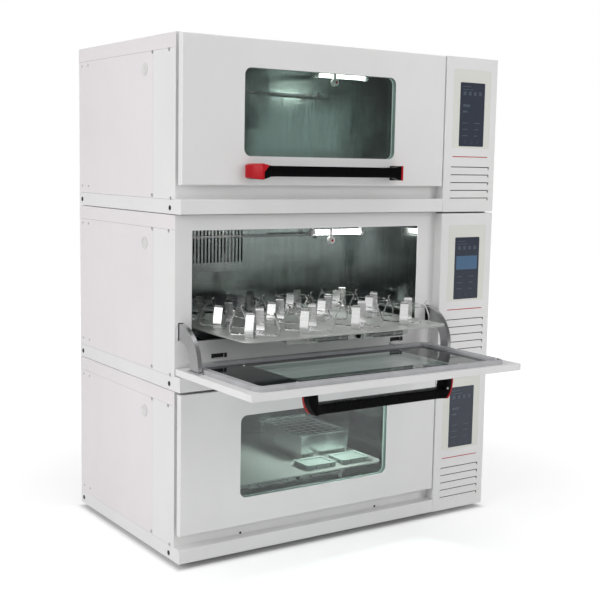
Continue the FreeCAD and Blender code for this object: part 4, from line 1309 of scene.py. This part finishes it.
@dataclass
class Handle(Assembly):
    """A door's loop handle: a black grip on two legs, with a red skin on the outer side of each leg."""

    door: Door
    left: float = 193.0
    right: float = 708.0
    low: float = 96.0
    bar_low: float = 104.0
    bar_high: float = 132.5
    height: float = 42.0
    end_drop: float = 5.0
    end_run: float = 20.0
    flare_start: float = 22.0
    flare_end: float = 52.0
    root: float = -31.9
    projection: float = 57.0
    bar_depth: float = 26.0
    slant: float = 19.0
    bulge: float = 8.0
    leg: float = 24.0
    inner_slant: float = 3.0
    skin: float = 6.5
    soft: float = 3.2
    skin_soft: float = 1.2
    skin_rise: float = 0.35
    skin_gap: float = 0.05
    leg_gap: float = 4.0
    screw_inset: float = 2.0
    screw_reach: float = 29.0
    cut: Triple = (206.0, 0.0, 101.5)
    cut_way: Triple = (-1.15, 0.0, 1.0)
    leg_steps: int = 10
    bar_steps: int = 28

    @classmethod
    def on_door(cls, door: Door) -> Handle:
        """Sizes for the lift-up or the drop-down door.

        Args:
            door: The door that carries the handle.

        Returns:
            The handle.
        """
        if door.place == LIFT_UP_PLACE:
            return cls(door.frame, door.datum, door)
        return cls(door.frame, door.datum, door, left=183.0, right=655.0, low=407.0, bar_low=410.5,
                   bar_high=442.5, cut=(183.0, 0.0, 421.0), cut_way=(0.0, 0.0, 1.0))

    def levels(self, x: float) -> Pair:
        """Lower and upper edge of the front outline at a place along the door.

        Args:
            x: The place.

        Returns:
            Both heights.
        """
        reach = min(x - self.left, self.right - x)
        tip = 1.0 - min(max(reach / self.end_run, 0.0), 1.0)
        drop = self.end_drop * tip * tip
        share = min(max((reach - self.flare_start) / (self.flare_end - self.flare_start), 0.0), 1.0)
        share = share * share * (3.0 - 2.0 * share)
        low = self.low + drop
        high = self.low + self.height - drop
        return low + (self.bar_low - low) * share, high + (self.bar_high - high) * share

    def stations(self, inset: float) -> list[tuple[Vector, Vector]]:
        """Outer and inner point of each cross-section round the loop, from the left root to the right.

        Args:
            inset: How far the outer side of each leg is drawn in.

        Returns:
            The pairs.
        """
        front = self.root - self.projection
        back = front + self.bar_depth
        left = []
        for step in range(self.leg_steps + 1):
            share = step / self.leg_steps
            bow = self.bulge * 4.0 * share * (1.0 - share)
            outer = Vector((inset + self.slant * share - bow, self.root - self.projection * share, 0.0))
            depth = self.root + (back - self.root) * share
            left.append((outer, Vector((self.leg + self.inner_slant * share, depth, 0.0))))
        shift = Vector((self.left, 0.0, 0.0))
        pairs = [(outer + shift, inner + shift) for outer, inner in left]
        corner = self.leg + self.inner_slant + self.leg_gap
        start = self.left + corner
        end = self.right - corner
        for step in range(self.bar_steps + 1):
            x = start + (end - start) * step / self.bar_steps
            pairs.append((Vector((x, front, 0.0)), Vector((x, back, 0.0))))
        for pair in reversed(left):
            outer, inner = (Vector((self.right - point.x, point.y, 0.0)) for point in pair)
            pairs.append((outer, inner))
        return pairs

    def section(self, outer: Vector, inner: Vector, soft: float, grow: float = 0.0) -> list[Vector]:
        """One closed cross-section with rounded corners.

        Args:
            outer: Its outer point.
            inner: Its inner point.
            soft: Radius of its corners.
            grow: How far it stands out above and below.

        Returns:
            The points.
        """
        across = inner - outer
        length = across.length
        points = []
        for u, v in rounded_rectangle((0.0, length, 0.0, self.height), soft, 4):
            place = outer + across * (u / length)
            low, high = self.levels(place.x)
            place.z = low - grow + (high - low + 2.0 * grow) * v / self.height
            points.append(place)
        return points

    def build(self) -> None:
        """Make the grip and the red skins."""
        grip = Form().loft([self.section(o, i, self.soft) for o, i in self.stations(self.skin)])
        made = self.door.add("handle_grip", grip, Paint.BLACK, self.door.module, "door_handle")
        ends = Form()
        pairs = self.stations(0.0)
        legs = (pairs[:self.leg_steps + 1], pairs[-self.leg_steps - 1:])
        for leg, way in zip(legs, (1.0, -1.0)):
            across = Vector((way * (self.skin - self.skin_gap), 0.0, 0.0))
            ends.loft([self.section(outer, outer + across, self.skin_soft, self.skin_rise)
                       for outer, _ in leg])
        skins = self.door.add("handle_ends", ends, Paint.RED, self.door.module, "handle_caps")
        middle = (self.left + self.right) / 2
        pose = self.door.pose(self.door.module)
        if self.door.place == LIFT_UP_PLACE:
            recolour(made, pose, self.cut, Vector(self.cut_way), Paint.RED, middle)
        else:
            recolour(skins, pose, self.cut, Vector(self.cut_way), Paint.BLACK, middle)
            self.screw()

    def screw(self) -> None:
        """Bright screw in the right leg, on the side that looks up when the door is closed."""
        place = Vector((self.right - self.leg + self.screw_inset, self.root - self.screw_reach, 0.0))
        place.z = self.levels(place.x)[1]
        form = Form()
        profile = [(3.4, -0.6), (3.4, 0.5), (2.6, 1.0), (1.4, 1.1), (1.2, 0.4), (0.1, 0.4)]
        form.turned(Axis.Z, place, profile, 16)
        self.door.add("handle_screw", form, Paint.SCREW, self.door.module)


@dataclass
class Door(Assembly):
    """A door with its panes, seal, handle and small hardware."""

    module: int = OPEN_MODULE
    pan_left: float = 2.0
    pan_right: float = 888.0
    inner_face: float = -13.0
    pane: float = 4.0
    outer_pane_front: float = -30.5
    window: Box = (189.0, 700.0, 157.0, 390.0)
    window_corner: float = 20.0
    border_corner: float = 6.0
    border_ease: float = 0.4
    corner_steps: int = 8
    overlap: float = 12.0
    seal: Box = (28.0, 848.0, 90.0, 452.0)
    seal_corner: float = 30.0
    seal_band: float = 22.0
    seal_height: float = 12.6
    groove_rows: tuple[int, int, int] = (6, 7, 8)
    pane_gap: float = 5.0
    spacer_gap: float = 1.8
    spacer_band: float = 9.0
    lower_pivot: float = 76.0
    swing: float = 90.0
    screw_radius: float = 3.4
    screw_margin: Pair = (14.0, 12.0)
    stay_inset: float = 20.0
    stay_foot: float = 5.0
    stay_screw_reach: Pair = (60.0, 110.0)
    upper_pivot: float = 458.0
    hinge_left: float = 112.0
    hinge_width: float = 49.0
    hinge_ear: float = 8.0
    hinge_rise: float = 18.0
    hinge_clear: float = 5.6
    sheet: float = 1.5
    pocket_back: float = 6.2

    @property
    def place(self) -> str:
        """The place of the door's module."""
        return PLACES[self.module]

    def body(self, module: int) -> str:
        """The door's own body."""
        return f"door_{PLACES[module]}"

    def pose(self, module: int) -> Matrix:
        """From millimetres of the closed door to its rest place in the frame.

        Args:
            module: The door's module.

        Returns:
            The matrix.
        """
        move = self.datum.move(module)
        if self.place != OPEN_PLACE:
            return move
        pivot = Matrix.Translation(Vector((0.0, 0.0, self.lower_pivot)))
        return move @ pivot @ Matrix.Rotation(math.radians(self.swing), 4, "X") @ pivot.inverted()

    def build(self) -> None:
        """Dress the pan and build what is on it."""
        self.dress(Paint.FRONT, f"door_pan_{self.place}")
        self.dress(Paint.STAY, f"door_stays_{self.place}")
        self.panes()
        self.spacer()
        self.gasket()
        self.window_screws()
        self.stay_screws()
        self.hinge_lining()
        if f"door_handle_{self.place}" in self.frame["nodes"]:
            Handle.on_door(self).build()

    def panes(self) -> None:
        """The clear outer pane and the inner pane with its printed border."""
        x0, x1, z0, z1 = self.window
        outer = Form()
        front = self.outer_pane_front
        outer.plate(Axis.Y, (x0 - self.overlap, x1 + self.overlap), (z0 - self.overlap, z1 + self.overlap),
                    (front, front + self.pane), self.window_corner + self.overlap, 0.3)
        self.add("pane_outer", outer, Paint.CLEAR, self.module, "door_glass")
        margin = self.seal_band + self.pane_gap
        sx0, sx1, sz0, sz1 = self.seal
        low, high = self.inner_face, self.inner_face + self.pane
        edge = (sx0 + margin, sx1 - margin, sz0 + margin, sz1 - margin)
        outline = rounded_rectangle(edge, self.border_corner, self.corner_steps)
        hole = rounded_rectangle(self.window, self.window_corner, self.corner_steps)
        border = Form()
        ease = self.border_ease
        middle = ((sx0 + sx1) / 2, (sz0 + sz1) / 2)
        eased = [(u + math.copysign(ease, middle[0] - u), v + math.copysign(ease, middle[1] - v))
                 for u, v in outline]
        levels = ((hole, low), (outline, low), (outline, high - ease), (eased, high), (hole, high))
        border.loft([[Axis.Y.point(u, v, level) for u, v in ring] for ring, level in levels], loop=True)
        self.add("pane_border", border, Paint.BORDER, self.module)
        clear = Form()
        clear.plate(Axis.Y, (x0 + 0.05, x1 - 0.05), (z0 + 0.05, z1 - 0.05), (low + 0.1, high - 0.02),
                    self.window_corner, 0.1, self.corner_steps)
        self.add("pane_inner", clear, Paint.CLEAR, self.module)

    def spacer(self) -> None:
        """Pale frame that keeps the two panes apart, seen as the window's reveal."""
        front = self.outer_pane_front + self.pane + 0.1
        back = self.inner_face - self.spacer_gap
        band = -self.spacer_band
        stations = ((-0.6, front), (0.0, front + 0.8), (0.0, back - 0.8), (-0.6, back), (band, back),
                    (band, front))
        form = Form()
        form.profiled(Axis.Y, self.window, self.window_corner, stations, self.corner_steps, loop=True)
        self.add("window_spacer", form, Paint.SPACER, self.module)

    def gasket(self) -> None:
        """Hollow-profile seal: two soft lips on a foot, with a groove between them that is darkened as
        painted shade.
        """
        band = self.seal_band
        tall = self.seal_height
        lips = ((0.0, 0.0), (0.0, 0.35), (0.8, 0.75), (2.6, 0.96), (5.0, 1.0), (7.0, 0.93), (8.2, 0.7),
                (8.6, 0.45), (13.4, 0.45), (13.8, 0.7), (15.0, 0.93), (17.0, 1.0), (19.4, 0.96),
                (21.2, 0.75), (band, 0.35), (band, 0.0))
        stations = [(inset, self.inner_face + tall * share) for inset, share in lips]
        form = Form()
        form.profiled(Axis.Y, self.seal, self.seal_corner, stations, self.corner_steps, loop=True)
        made = self.add("seal", form, Paint.SEAL, self.module, "door_gasket")
        # The groove's faces take the darker rubber as painted shade.
        made.data.materials.append(Paint.SEAL_GROOVE_SHADE.material())
        count = 4 * (self.corner_steps + 1)
        for face in made.data.polygons:
            if face.index // count in self.groove_rows:
                face.material_index = 1

    def hinge_line(self) -> Pair:
        """Height of the hinge, and 1 or -1 for the way from it to the door's middle."""
        return (self.upper_pivot, -1.0) if self.place == LIFT_UP_PLACE else (self.lower_pivot, 1.0)

    def hinge_lining(self) -> None:
        """Dark plates in the hinge slots of the front frame, above the pins, as painted shade in the
        pockets.
        """
        pivot, side = self.hinge_line()
        z0, z1 = sorted((pivot + side * self.hinge_clear, pivot + side * (self.hinge_rise - 0.1)))
        form = Form()
        # Near-black plates on the ears and the pocket's back: painted shade.
        for start in (self.hinge_left, self.pan_left + self.pan_right - self.hinge_left - self.hinge_width):
            end = start + self.hinge_width
            for u0, u1 in ((start + 0.1, start + self.hinge_ear), (end - self.hinge_ear, end - 0.1)):
                form.plate(Axis.Y, (u0, u1), (z0, z1), (0.3, self.sheet - 0.05), 0.3, 0.1, 2)
            form.plate(Axis.Y, (start + self.hinge_ear + 0.1, end - self.hinge_ear - 0.1), (z0, z1),
                       (self.pocket_back - 0.5, self.pocket_back - 0.05), 0.3, 0.1, 2)
        mesh = form.data("hinge_lining", self.datum.move(self.module))
        add_piece(f"hinge_lining_{self.place}", mesh, CABINET, Paint.RECESS_SHADE)

    def window_screws(self) -> None:
        """Bright screws at the corners of the clear part of the inner pane."""
        x0, x1, z0, z1 = self.window
        dx, dz = self.screw_margin
        form = Form()
        r = self.screw_radius
        profile = [(r * 1.4, 0.0), (r * 1.35, 0.6), (r, 0.7), (r * 0.9, 1.8), (r * 0.5, 2.3), (r * 0.4, 1.5),
                   (0.2, 1.4)]
        for x in (x0 - dx, x1 + dx):
            for z in (z0 - dz, z1 + dz):
                form.turned(Axis.Y, Vector((x, self.inner_face + self.pane, z)), profile, 18)
        self.add("window_screws", form, Paint.SCREW, self.module)

    def stay_screws(self) -> None:
        """Two dark screws on the foot of each stay."""
        pivot, way = self.hinge_line()
        form = Form()
        profile = [(2.6, 0.0), (2.5, 1.0), (1.6, 1.6), (1.0, 1.7), (0.8, 0.8), (0.1, 0.7)]
        for x in (self.stay_inset, self.pan_left + self.pan_right - self.stay_inset):
            for reach in self.stay_screw_reach:
                centre = Vector((x, self.inner_face + self.stay_foot, pivot + way * reach))
                form.turned(Axis.Y, centre, profile, 14)
        self.add("stay_screws", form, Paint.SOCKET, self.module)


@dataclass
class Drive(Assembly):
    """The shaking drive under the chamber floor."""

    def build(self) -> None:
        """Dress the drive's nodes."""
        self.dress(Paint.DRIVE, "drive_eccentric", "idler_eccentric", "carriage", "drive_bases")
        self.dress(Paint.MOTOR, "motors")


@dataclass
class TraySet(Assembly):
    """Trays with their wire handles, clamps, rack and holders."""

    middle_x: float = 440.0
    tray_front: float = 82.0
    travel: float = 287.0
    tray_top: float = 156.0
    tray_plate: float = 4.0
    apron_middle: float = 468.0
    apron_face: float = 104.0
    apron_bottom: float = 136.5
    loop_offset: float = 94.0
    loop_length: float = 110.0
    loop_radius: float = 2.62
    loop_bar_radius: float = 2.358
    loop_standoff: float = 16.0
    loop_drop: float = 9.0
    loop_inset: float = 2.5
    loop_bend: float = 1.6
    clamp_columns: int = 4
    clamp_rows: int = 3
    clamp_pitch_x: float = 172.0
    clamp_pitch_y: float = 166.0
    clamp_first_row: float = 96.0
    base_radius: float = 65.5
    finger_width: float = 23.0
    finger_sheet: float = 1.4
    finger_height: float = 66.0
    finger_lean: float = 15.0
    finger_lip: float = 6.0
    knee_share: float = 0.30
    taper: Pair = (0.92, 0.28)
    first_angle: float = 45.0
    cross_inset: float = 2.0
    cross_lift: float = 0.02
    foot_share: float = 0.62
    spring_radius: float = 1.8
    spring_wire: float = 0.5
    spring_height: float = 50.0
    spring_reach: float = 55.4
    spring_turns: int = 26
    spring_steps: int = 6
    spring_sides: int = 4
    rack_range: Box = (553.0, 738.0, 210.0, 462.0)
    rack_height: float = 80.0
    rack_corner: float = 9.0
    rack_sheet: float = 1.5
    rack_wire: float = 1.1
    rack_grid_margin: float = 3.0
    rack_grid_drop: float = 9.0
    rack_cells: tuple[int, int] = (6, 8)

    def body(self, module: int) -> str:
        """The body of a module's tray."""
        return f"shaking_tray_{PLACES[module]}"

    def pose(self, module: int) -> Matrix:
        """From millimetres of a closed tray to its rest place in the frame."""
        pull = -self.travel if module == OPEN_MODULE else 0.0
        return self.datum.move(module) @ Matrix.Translation(Vector((0.0, pull, 0.0)))

    def build(self) -> None:
        """Dress the trays and build what is on them."""
        self.dress(Paint.TRAY, "tray")
        self.dress(Paint.HOLDER, "plate_holders")
        for module in MODULES:
            self.wire_handles(module)
            self.knob(module)
        self.clamps()
        self.springs()
        self.rack()

    def wire_handles(self, module: int) -> None:
        """Two round wire handles under the front edge of a tray.

        Args:
            module: The module that it belongs to.
        """
        form = Form()
        y = self.apron_face - self.loop_standoff + self.loop_inset
        z = self.apron_bottom + self.loop_inset
        high = z + self.loop_drop
        half = self.loop_length / 2
        bend = self.loop_bend
        for side in (-1.0, 1.0):
            x = self.apron_middle + side * self.loop_offset
            a, b = x - half + self.loop_inset, x + half - self.loop_inset
            path = [(a, self.apron_face, high), (a, y + bend, high), (a, y, high - bend), (a, y, z + bend),
                    (a + bend, y, z), (b - bend, y, z), (b, y, z + bend), (b, y, high - bend),
                    (b, y + bend, high), (b, self.apron_face, high)]
            form.tube([Vector(point) for point in path], self.loop_radius, 12)
            form.tube([Vector((a, y, high)), Vector((b, y, high))], self.loop_bar_radius, 12)
        self.add("tray_handles", form, Paint.LOOP, module)

    def knob(self, module: int) -> None:
        """Dark latch knob in the middle of the apron.

        Args:
            module: The module that it belongs to.
        """
        form = Form()
        middle = (self.apron_bottom + self.tray_top - self.tray_plate) / 2
        profile = [(4.5, 0.0), (4.5, -2.0), (6.9, -2.6), (6.95, -6.0), (6.0, -7.2), (2.0, -7.4), (0.2, -7.4)]
        form.turned(Axis.Y, Vector((self.apron_middle, self.apron_face, middle)), profile, 24)
        self.add("tray_knob", form, Paint.BLACK, module)

    def clamp_centres(self) -> list[Vector]:
        """Centres of the clamps on a closed tray.

        Returns:
            The points on the tray's top.
        """
        centres = []
        for row in range(self.clamp_rows):
            for column in range(self.clamp_columns):
                x = self.middle_x + (column - (self.clamp_columns - 1) / 2) * self.clamp_pitch_x
                y = self.tray_front + self.clamp_first_row + row * self.clamp_pitch_y
                centres.append(Vector((x, y, self.tray_top)))
        return centres

    def finger_line(self) -> list[Pair]:
        """Radius and height along the outer face of a finger, from the foot to the lip.

        Returns:
            The points.
        """
        knee = self.finger_height * self.knee_share
        crook = self.finger_height - self.finger_lip
        r = self.base_radius
        t = self.finger_sheet
        top = r - self.finger_lean + 2 * t
        line = [(r - 14.0, t), (r - 3.0, t), (r - 0.8, t + 0.6), (r + t * 0.4, t + 2.4),
                (r + 1.5 * t, knee * 0.6)]
        for step in range(9):
            share = step / 8
            bulge = 1.1 * math.sin(math.pi * share)
            line.append((r + 2 * t + (top - r - 2 * t) * share + bulge * 0.5, knee + (crook - knee) * share))
        for step in range(1, 5):
            share = step / 4
            line.append((top + self.finger_lip * share ** 1.6, crook + self.finger_lip * share))
        return line

    def finger_angles(self) -> list[float]:
        """The four ways, in radians, that a clamp's fingers stand."""
        return [math.radians(self.first_angle + 90.0 * quarter) for quarter in range(4)]

    def clamps(self) -> None:
        """Pressed crosses with four bent fingers each, one form for all clamps."""
        form = Form()
        line = self.finger_line()
        half = self.finger_width / 2
        t = self.finger_sheet
        start, narrowing = self.taper
        for centre in self.clamp_centres():
            for angle in self.finger_angles():
                turn = Matrix.Translation(centre) @ Matrix.Rotation(angle, 4, "Z")
                rings = []
                for index, (radius, height) in enumerate(line):
                    ahead = line[min(index + 1, len(line) - 1)]
                    behind = line[max(index - 1, 0)]
                    along = Vector((ahead[0] - behind[0], 0.0, ahead[1] - behind[1])).normalized()
                    normal = Vector((along.z, 0.0, -along.x))
                    share = index / (len(line) - 1)
                    tip = max(share - start, 0.0) / (1.0 - start)
                    side = half * (1.0 - narrowing * tip)
                    outer = Vector((radius, 0.0, height))
                    inner = outer - normal * t
                    corners = ((outer, -side), (outer, side), (inner, side), (inner, -side))
                    rings.append([turn @ (point + Vector((0.0, across, 0.0))) for point, across in corners])
                form.loft(rings)
            self.cross(form, centre)
        self.add("clamp_fingers", form, Paint.SPRING, OPEN_MODULE, "flask_clamps", single=True)

    def cross(self, form: Form, centre: Vector) -> None:
        """Add the flat cross under a flask, with its fixing screws.

        Args:
            form: The form it joins.
            centre: The clamp's centre.
        """
        half = self.finger_width / 2
        reach = self.base_radius - self.cross_inset
        angles = self.finger_angles()
        for lift, angle in zip((0.0, self.cross_lift), angles):
            bar = Form()
            bar.plate(Axis.Z, (-reach, reach), (-half, half), (0.0, self.finger_sheet + lift), 2.0, 0.3, 3)
            form.join(bar, Matrix.Translation(centre) @ Matrix.Rotation(angle, 4, "Z"))
        profile = [(4.2, 0.0), (4.1, 1.2), (3.2, 2.1), (1.9, 2.2), (1.7, 1.2), (0.2, 1.1)]
        for angle in angles:
            way = Vector((math.cos(angle), math.sin(angle), 0.0))
            foot = centre + way * (self.base_radius * self.foot_share)
            foot.z += self.finger_sheet
            form.turned(Axis.Z, foot, profile, 14)

    def springs(self) -> None:
        """Coiled springs between neighbouring fingers."""
        form = Form()
        half = self.finger_width / 2
        for centre in self.clamp_centres():
            for angle in self.finger_angles():
                ends = []
                for turn, side in ((angle, half), (angle + math.pi / 2, -half)):
                    cos, sin = math.cos(turn), math.sin(turn)
                    ends.append(centre + Vector((self.spring_reach * cos - side * sin,
                                                 self.spring_reach * sin + side * cos,
                                                 self.spring_height)))
                self.coil(form, *ends)
        self.add("clamp_coils", form, Paint.SPRING, OPEN_MODULE, "clamp_springs", single=True)

    def coil(self, form: Form, start: Vector, end: Vector) -> None:
        """Add one close-wound spring.

        Args:
            form: The form it joins.
            start: One hook.
            end: The other hook.
        """
        along = end - start
        side = along.cross(Vector((0.0, 0.0, 1.0))).normalized()
        up = Vector((0.0, 0.0, 1.0))
        mean = self.spring_radius - self.spring_wire
        points = []
        steps = self.spring_turns * self.spring_steps
        for step in range(steps + 1):
            share = step / steps
            angle = 2 * math.pi * self.spring_turns * share
            points.append(start + along * share + (side * math.cos(angle) + up * math.sin(angle)) * mean)
        form.tube(points, self.spring_wire, self.spring_sides)

    def rack(self) -> None:
        """Open sheet-steel rack with a rolled rim and a wire grid that holds tubes upright."""
        x0, x1, y0, y1 = self.rack_range
        z0 = self.tray_top + 0.1
        z1 = z0 + self.rack_height
        t = self.rack_sheet
        profile = ((2.0, z0), (0.5, z0), (0.0, z0 + 0.6), (0.0, z1 - 3.4), (-2.0, z1 - 3.0),
                   (-2.7, z1 - 1.6), (-2.2, z1 - 0.3), (-0.8, z1), (t * 0.7, z1 - 0.2), (t, z1 - 1.2),
                   (t, z0 + t + 0.8), (t + 2.0, z0 + t))
        box = Form().profiled(Axis.Z, self.rack_range, self.rack_corner, profile, 6)
        self.add("rack_box", box, Paint.SPRING, 0, "tube_rack", single=True)
        grid = Form()
        wire = self.rack_wire
        margin = self.rack_grid_margin
        level = z1 - self.rack_grid_drop
        upper = level + 2 * wire
        columns, rows = self.rack_cells
        for column in range(columns + 1):
            x = x0 + margin + (x1 - x0 - 2 * margin) * column / columns
            grid.tube([Vector((x, y0 + t, level)), Vector((x, y1 - t, level))], wire, 8)
        for row in range(rows + 1):
            y = y0 + margin + (y1 - y0 - 2 * margin) * row / rows
            grid.tube([Vector((x0 + t, y, upper)), Vector((x1 - t, y, upper))], wire, 8)
        self.add("rack_grid", grid, Paint.SCREW, single=True)


@dataclass(frozen=True)
class SoftLamp:
    """A soft square lamp outside the object.

    Its place and aim are in metres and its power is in watts.
    """

    name: str
    place: Triple
    aim: Triple
    size: float
    power: float
    mirrored: bool = True

    def hang(self) -> None:
        """Put the lamp into the scene, unseen through panes."""
        data = bpy.data.lights.new(self.name, "AREA")
        data.size = self.size
        data.energy = self.power
        made = put_in_scene(self.name, data)
        made.location = Vector(self.place)
        made.rotation_euler = (Vector(self.aim) - made.location).to_track_quat("-Z", "Y").to_euler()
        made.visible_glossy = self.mirrored
        made.visible_transmission = False


@dataclass
class Studio:
    """Floor, soft lamps, background and camera."""

    datum: Datum
    focal_pixels: float = 1103.3
    frame_pixels: float = 600.0
    sensor: float = 36.0
    yaw: float = 34.071
    pitch: float = -7.033
    roll: float = 1.05
    eye: Triple = (-1341.5, -2572.8, 1078.8)
    ambient: float = 0.48
    shine_low: float = 0.16
    shine_high: float = 0.95
    shine_side: Triple = (-0.83, -0.56, 0.0)
    floor_colour: Colour = (0.86, 0.86, 0.86)
    floor_near_lift: float = 0.36
    floor_far_lift: float = 0.66
    floor_reach: Pair = (0.75, 2.4)
    edge_reach: Pair = (-0.012, 0.02)
    lamps: tuple[SoftLamp, ...] = (
        SoftLamp("left", (-4.2, -0.6, 2.2), (0.0, 0.0, 0.7), 2.6, 78.0),
        SoftLamp("front", (2.8, -4.0, 2.0), (0.6, 0.0, 0.8), 2.4, 60.0, mirrored=False),
        SoftLamp("top", (0.0, -0.4, 4.2), (0.0, 0.0, 0.8), 3.0, 36.0),
    )
    chamber_lights: Triple = (9.0, 2.4, 3.0)
    chamber_light_place: Triple = (645.0, 170.0, 380.0)
    chamber_light_radius: float = 0.05
    chamber_light_colour: Colour = (0.92, 1.0, 0.96)
    floor_half: float = 9000.0
    far_clip: float = 60.0

    def build(self) -> None:
        """Make the whole studio."""
        self.camera()
        self.world()
        self.floor()
        for lamp in self.lamps:
            lamp.hang()
        for module in MODULES:
            self.chamber_lamp(module)

    def camera(self) -> None:
        """Place the camera at the photograph's viewing angle."""
        yaw, pitch, roll = (math.radians(a) for a in (self.yaw, self.pitch, self.roll))
        forward = Vector((math.sin(yaw) * math.cos(pitch), math.cos(yaw) * math.cos(pitch), math.sin(pitch)))
        level = Vector((math.cos(yaw), -math.sin(yaw), 0.0))
        raised = level.cross(forward)
        right = level * math.cos(roll) + raised * math.sin(roll)
        up = level * -math.sin(roll) + raised * math.cos(roll)
        data = bpy.data.cameras.new("camera")
        data.sensor_width = self.sensor
        data.lens = self.focal_pixels / self.frame_pixels * self.sensor
        data.clip_end = self.far_clip
        made = put_in_scene("camera", data)
        turn = Matrix((right, up, -forward)).transposed().to_4x4()
        made.matrix_world = Matrix.Translation(self.datum.at(*self.eye)) @ turn
        bpy.context.scene.camera = made

    def world(self) -> None:
        """White to the eye and to reflections, plain soft light to the object."""
        scene = bpy.context.scene
        scene.view_settings.view_transform = "Standard"
        scene.world = bpy.data.worlds.new("studio")
        scene.world.use_nodes = True
        graph = Graph(scene.world.node_tree)
        path = graph.node("ShaderNodeLightPath")
        seen = Wire(graph, path.outputs["Is Camera Ray"])
        seen = seen.larger(Wire(graph, path.outputs["Is Transmission Ray"]))
        mirrored = Wire(graph, path.outputs["Glossy Depth"]).ramp(0.2, 0.8)
        mirrored = mirrored * (1.0 - Wire(graph, path.outputs["Is Diffuse Ray"]))
        direction = Wire(graph, graph.node("ShaderNodeTexCoord").outputs["Generated"])
        values = {0: direction, 1: self.shine_side}
        facing = graph.node("ShaderNodeVectorMath", {"operation": "DOT_PRODUCT"}, values)
        bright = Wire(graph, facing.outputs["Value"]).ramp(0.1, 0.9)
        level = bright * (self.shine_high - self.shine_low) + self.shine_low
        plain = seen * (1.0 - self.ambient) + self.ambient
        strength = plain + mirrored * (level - plain)
        values = {"Color": (1.0, 1.0, 1.0, 1.0), "Strength": strength}
        back = graph.node("ShaderNodeBackground", None, values)
        graph.output(Wire(graph, back.outputs[0]), "ShaderNodeOutputWorld")

    def floor(self) -> None:
        """A pale floor that runs to white away from the object's shadow."""
        form = Form()
        half = self.floor_half
        form.loft([[Vector((-half, -half, 0.0)), Vector((half, -half, 0.0))],
                   [Vector((-half, half, 0.0)), Vector((half, half, 0.0))]], caps=False, ring_closed=False)
        mesh = form.data("floor", Matrix.Scale(MM, 4))
        made = put_in_scene("floor", mesh)
        material = bpy.data.materials.new("floor_pale")
        material.use_nodes = True
        graph = Graph(material.node_tree)
        path = graph.node("ShaderNodeLightPath")
        seen = Wire(graph, path.outputs["Is Camera Ray"])
        cloud = graph.noise(0.8, 2.0)
        ground = graph.principled({
            "Base Color": graph.mix(cloud, self.floor_colour, shade(self.floor_colour, 0.985)),
            "Roughness": 0.7,
        })
        away = graph.node("ShaderNodeVectorMath", {"operation": "LENGTH"}, {0: graph.place()})
        far = Wire(graph, away.outputs["Value"]).ramp(*self.floor_reach)
        parts = graph.node("ShaderNodeSeparateXYZ", None, {0: graph.place()})
        centre, half_box = self.footprint()
        across = abs(Wire(graph, parts.outputs[0]) - centre.x) - half_box.x
        along = abs(Wire(graph, parts.outputs[1]) - centre.y) - half_box.y
        clear = across.larger(along).ramp(*self.edge_reach)
        lift = far * (self.floor_far_lift - self.floor_near_lift) + self.floor_near_lift
        lift = lift * clear
        glow = graph.node("ShaderNodeEmission", None, {"Strength": seen * lift})
        total = graph.node("ShaderNodeAddShader", None, {0: ground, 1: Wire(graph, glow.outputs[0])})
        graph.output(Wire(graph, total.outputs[0]))
        mesh.materials.append(material)

    def footprint(self) -> tuple[Vector, Vector]:
        """Centre and half size of the cabinet over the floor, in metres."""
        low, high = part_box("base_pan_lower")
        return (low + high) / 2, (high - low) / 2

    def chamber_lamp(self, module: int) -> None:
        """Light from a chamber's lit tube.

        Args:
            module: The module that it belongs to.
        """
        name = f"chamber_light_{PLACES[module]}"
        data = bpy.data.lights.new(name, "POINT")
        data.energy = self.chamber_lights[module]
        data.color = self.chamber_light_colour
        data.shadow_soft_size = self.chamber_light_radius
        made = put_in_scene(name, data)
        made.location = self.datum.at(*self.chamber_light_place, module)
        made.visible_glossy = False
        made.visible_transmission = False


def main() -> None:
    """Build the looks in order."""
    logging.basicConfig(level=logging.INFO, format="%(message)s")
    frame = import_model()
    datum = Datum.from_frame()
    kinds = (Shell, Column, Chamber, Drive, TraySet)
    parts: list[Assembly | Studio] = [kind(frame, datum) for kind in kinds]
    parts += [Door(frame, datum, module) for module in MODULES]
    parts.append(Studio(datum))
    for part in parts:
        part.build()
        log.info("built %s", type(part).__name__.lower())


if __name__ == "__main__":
    main()
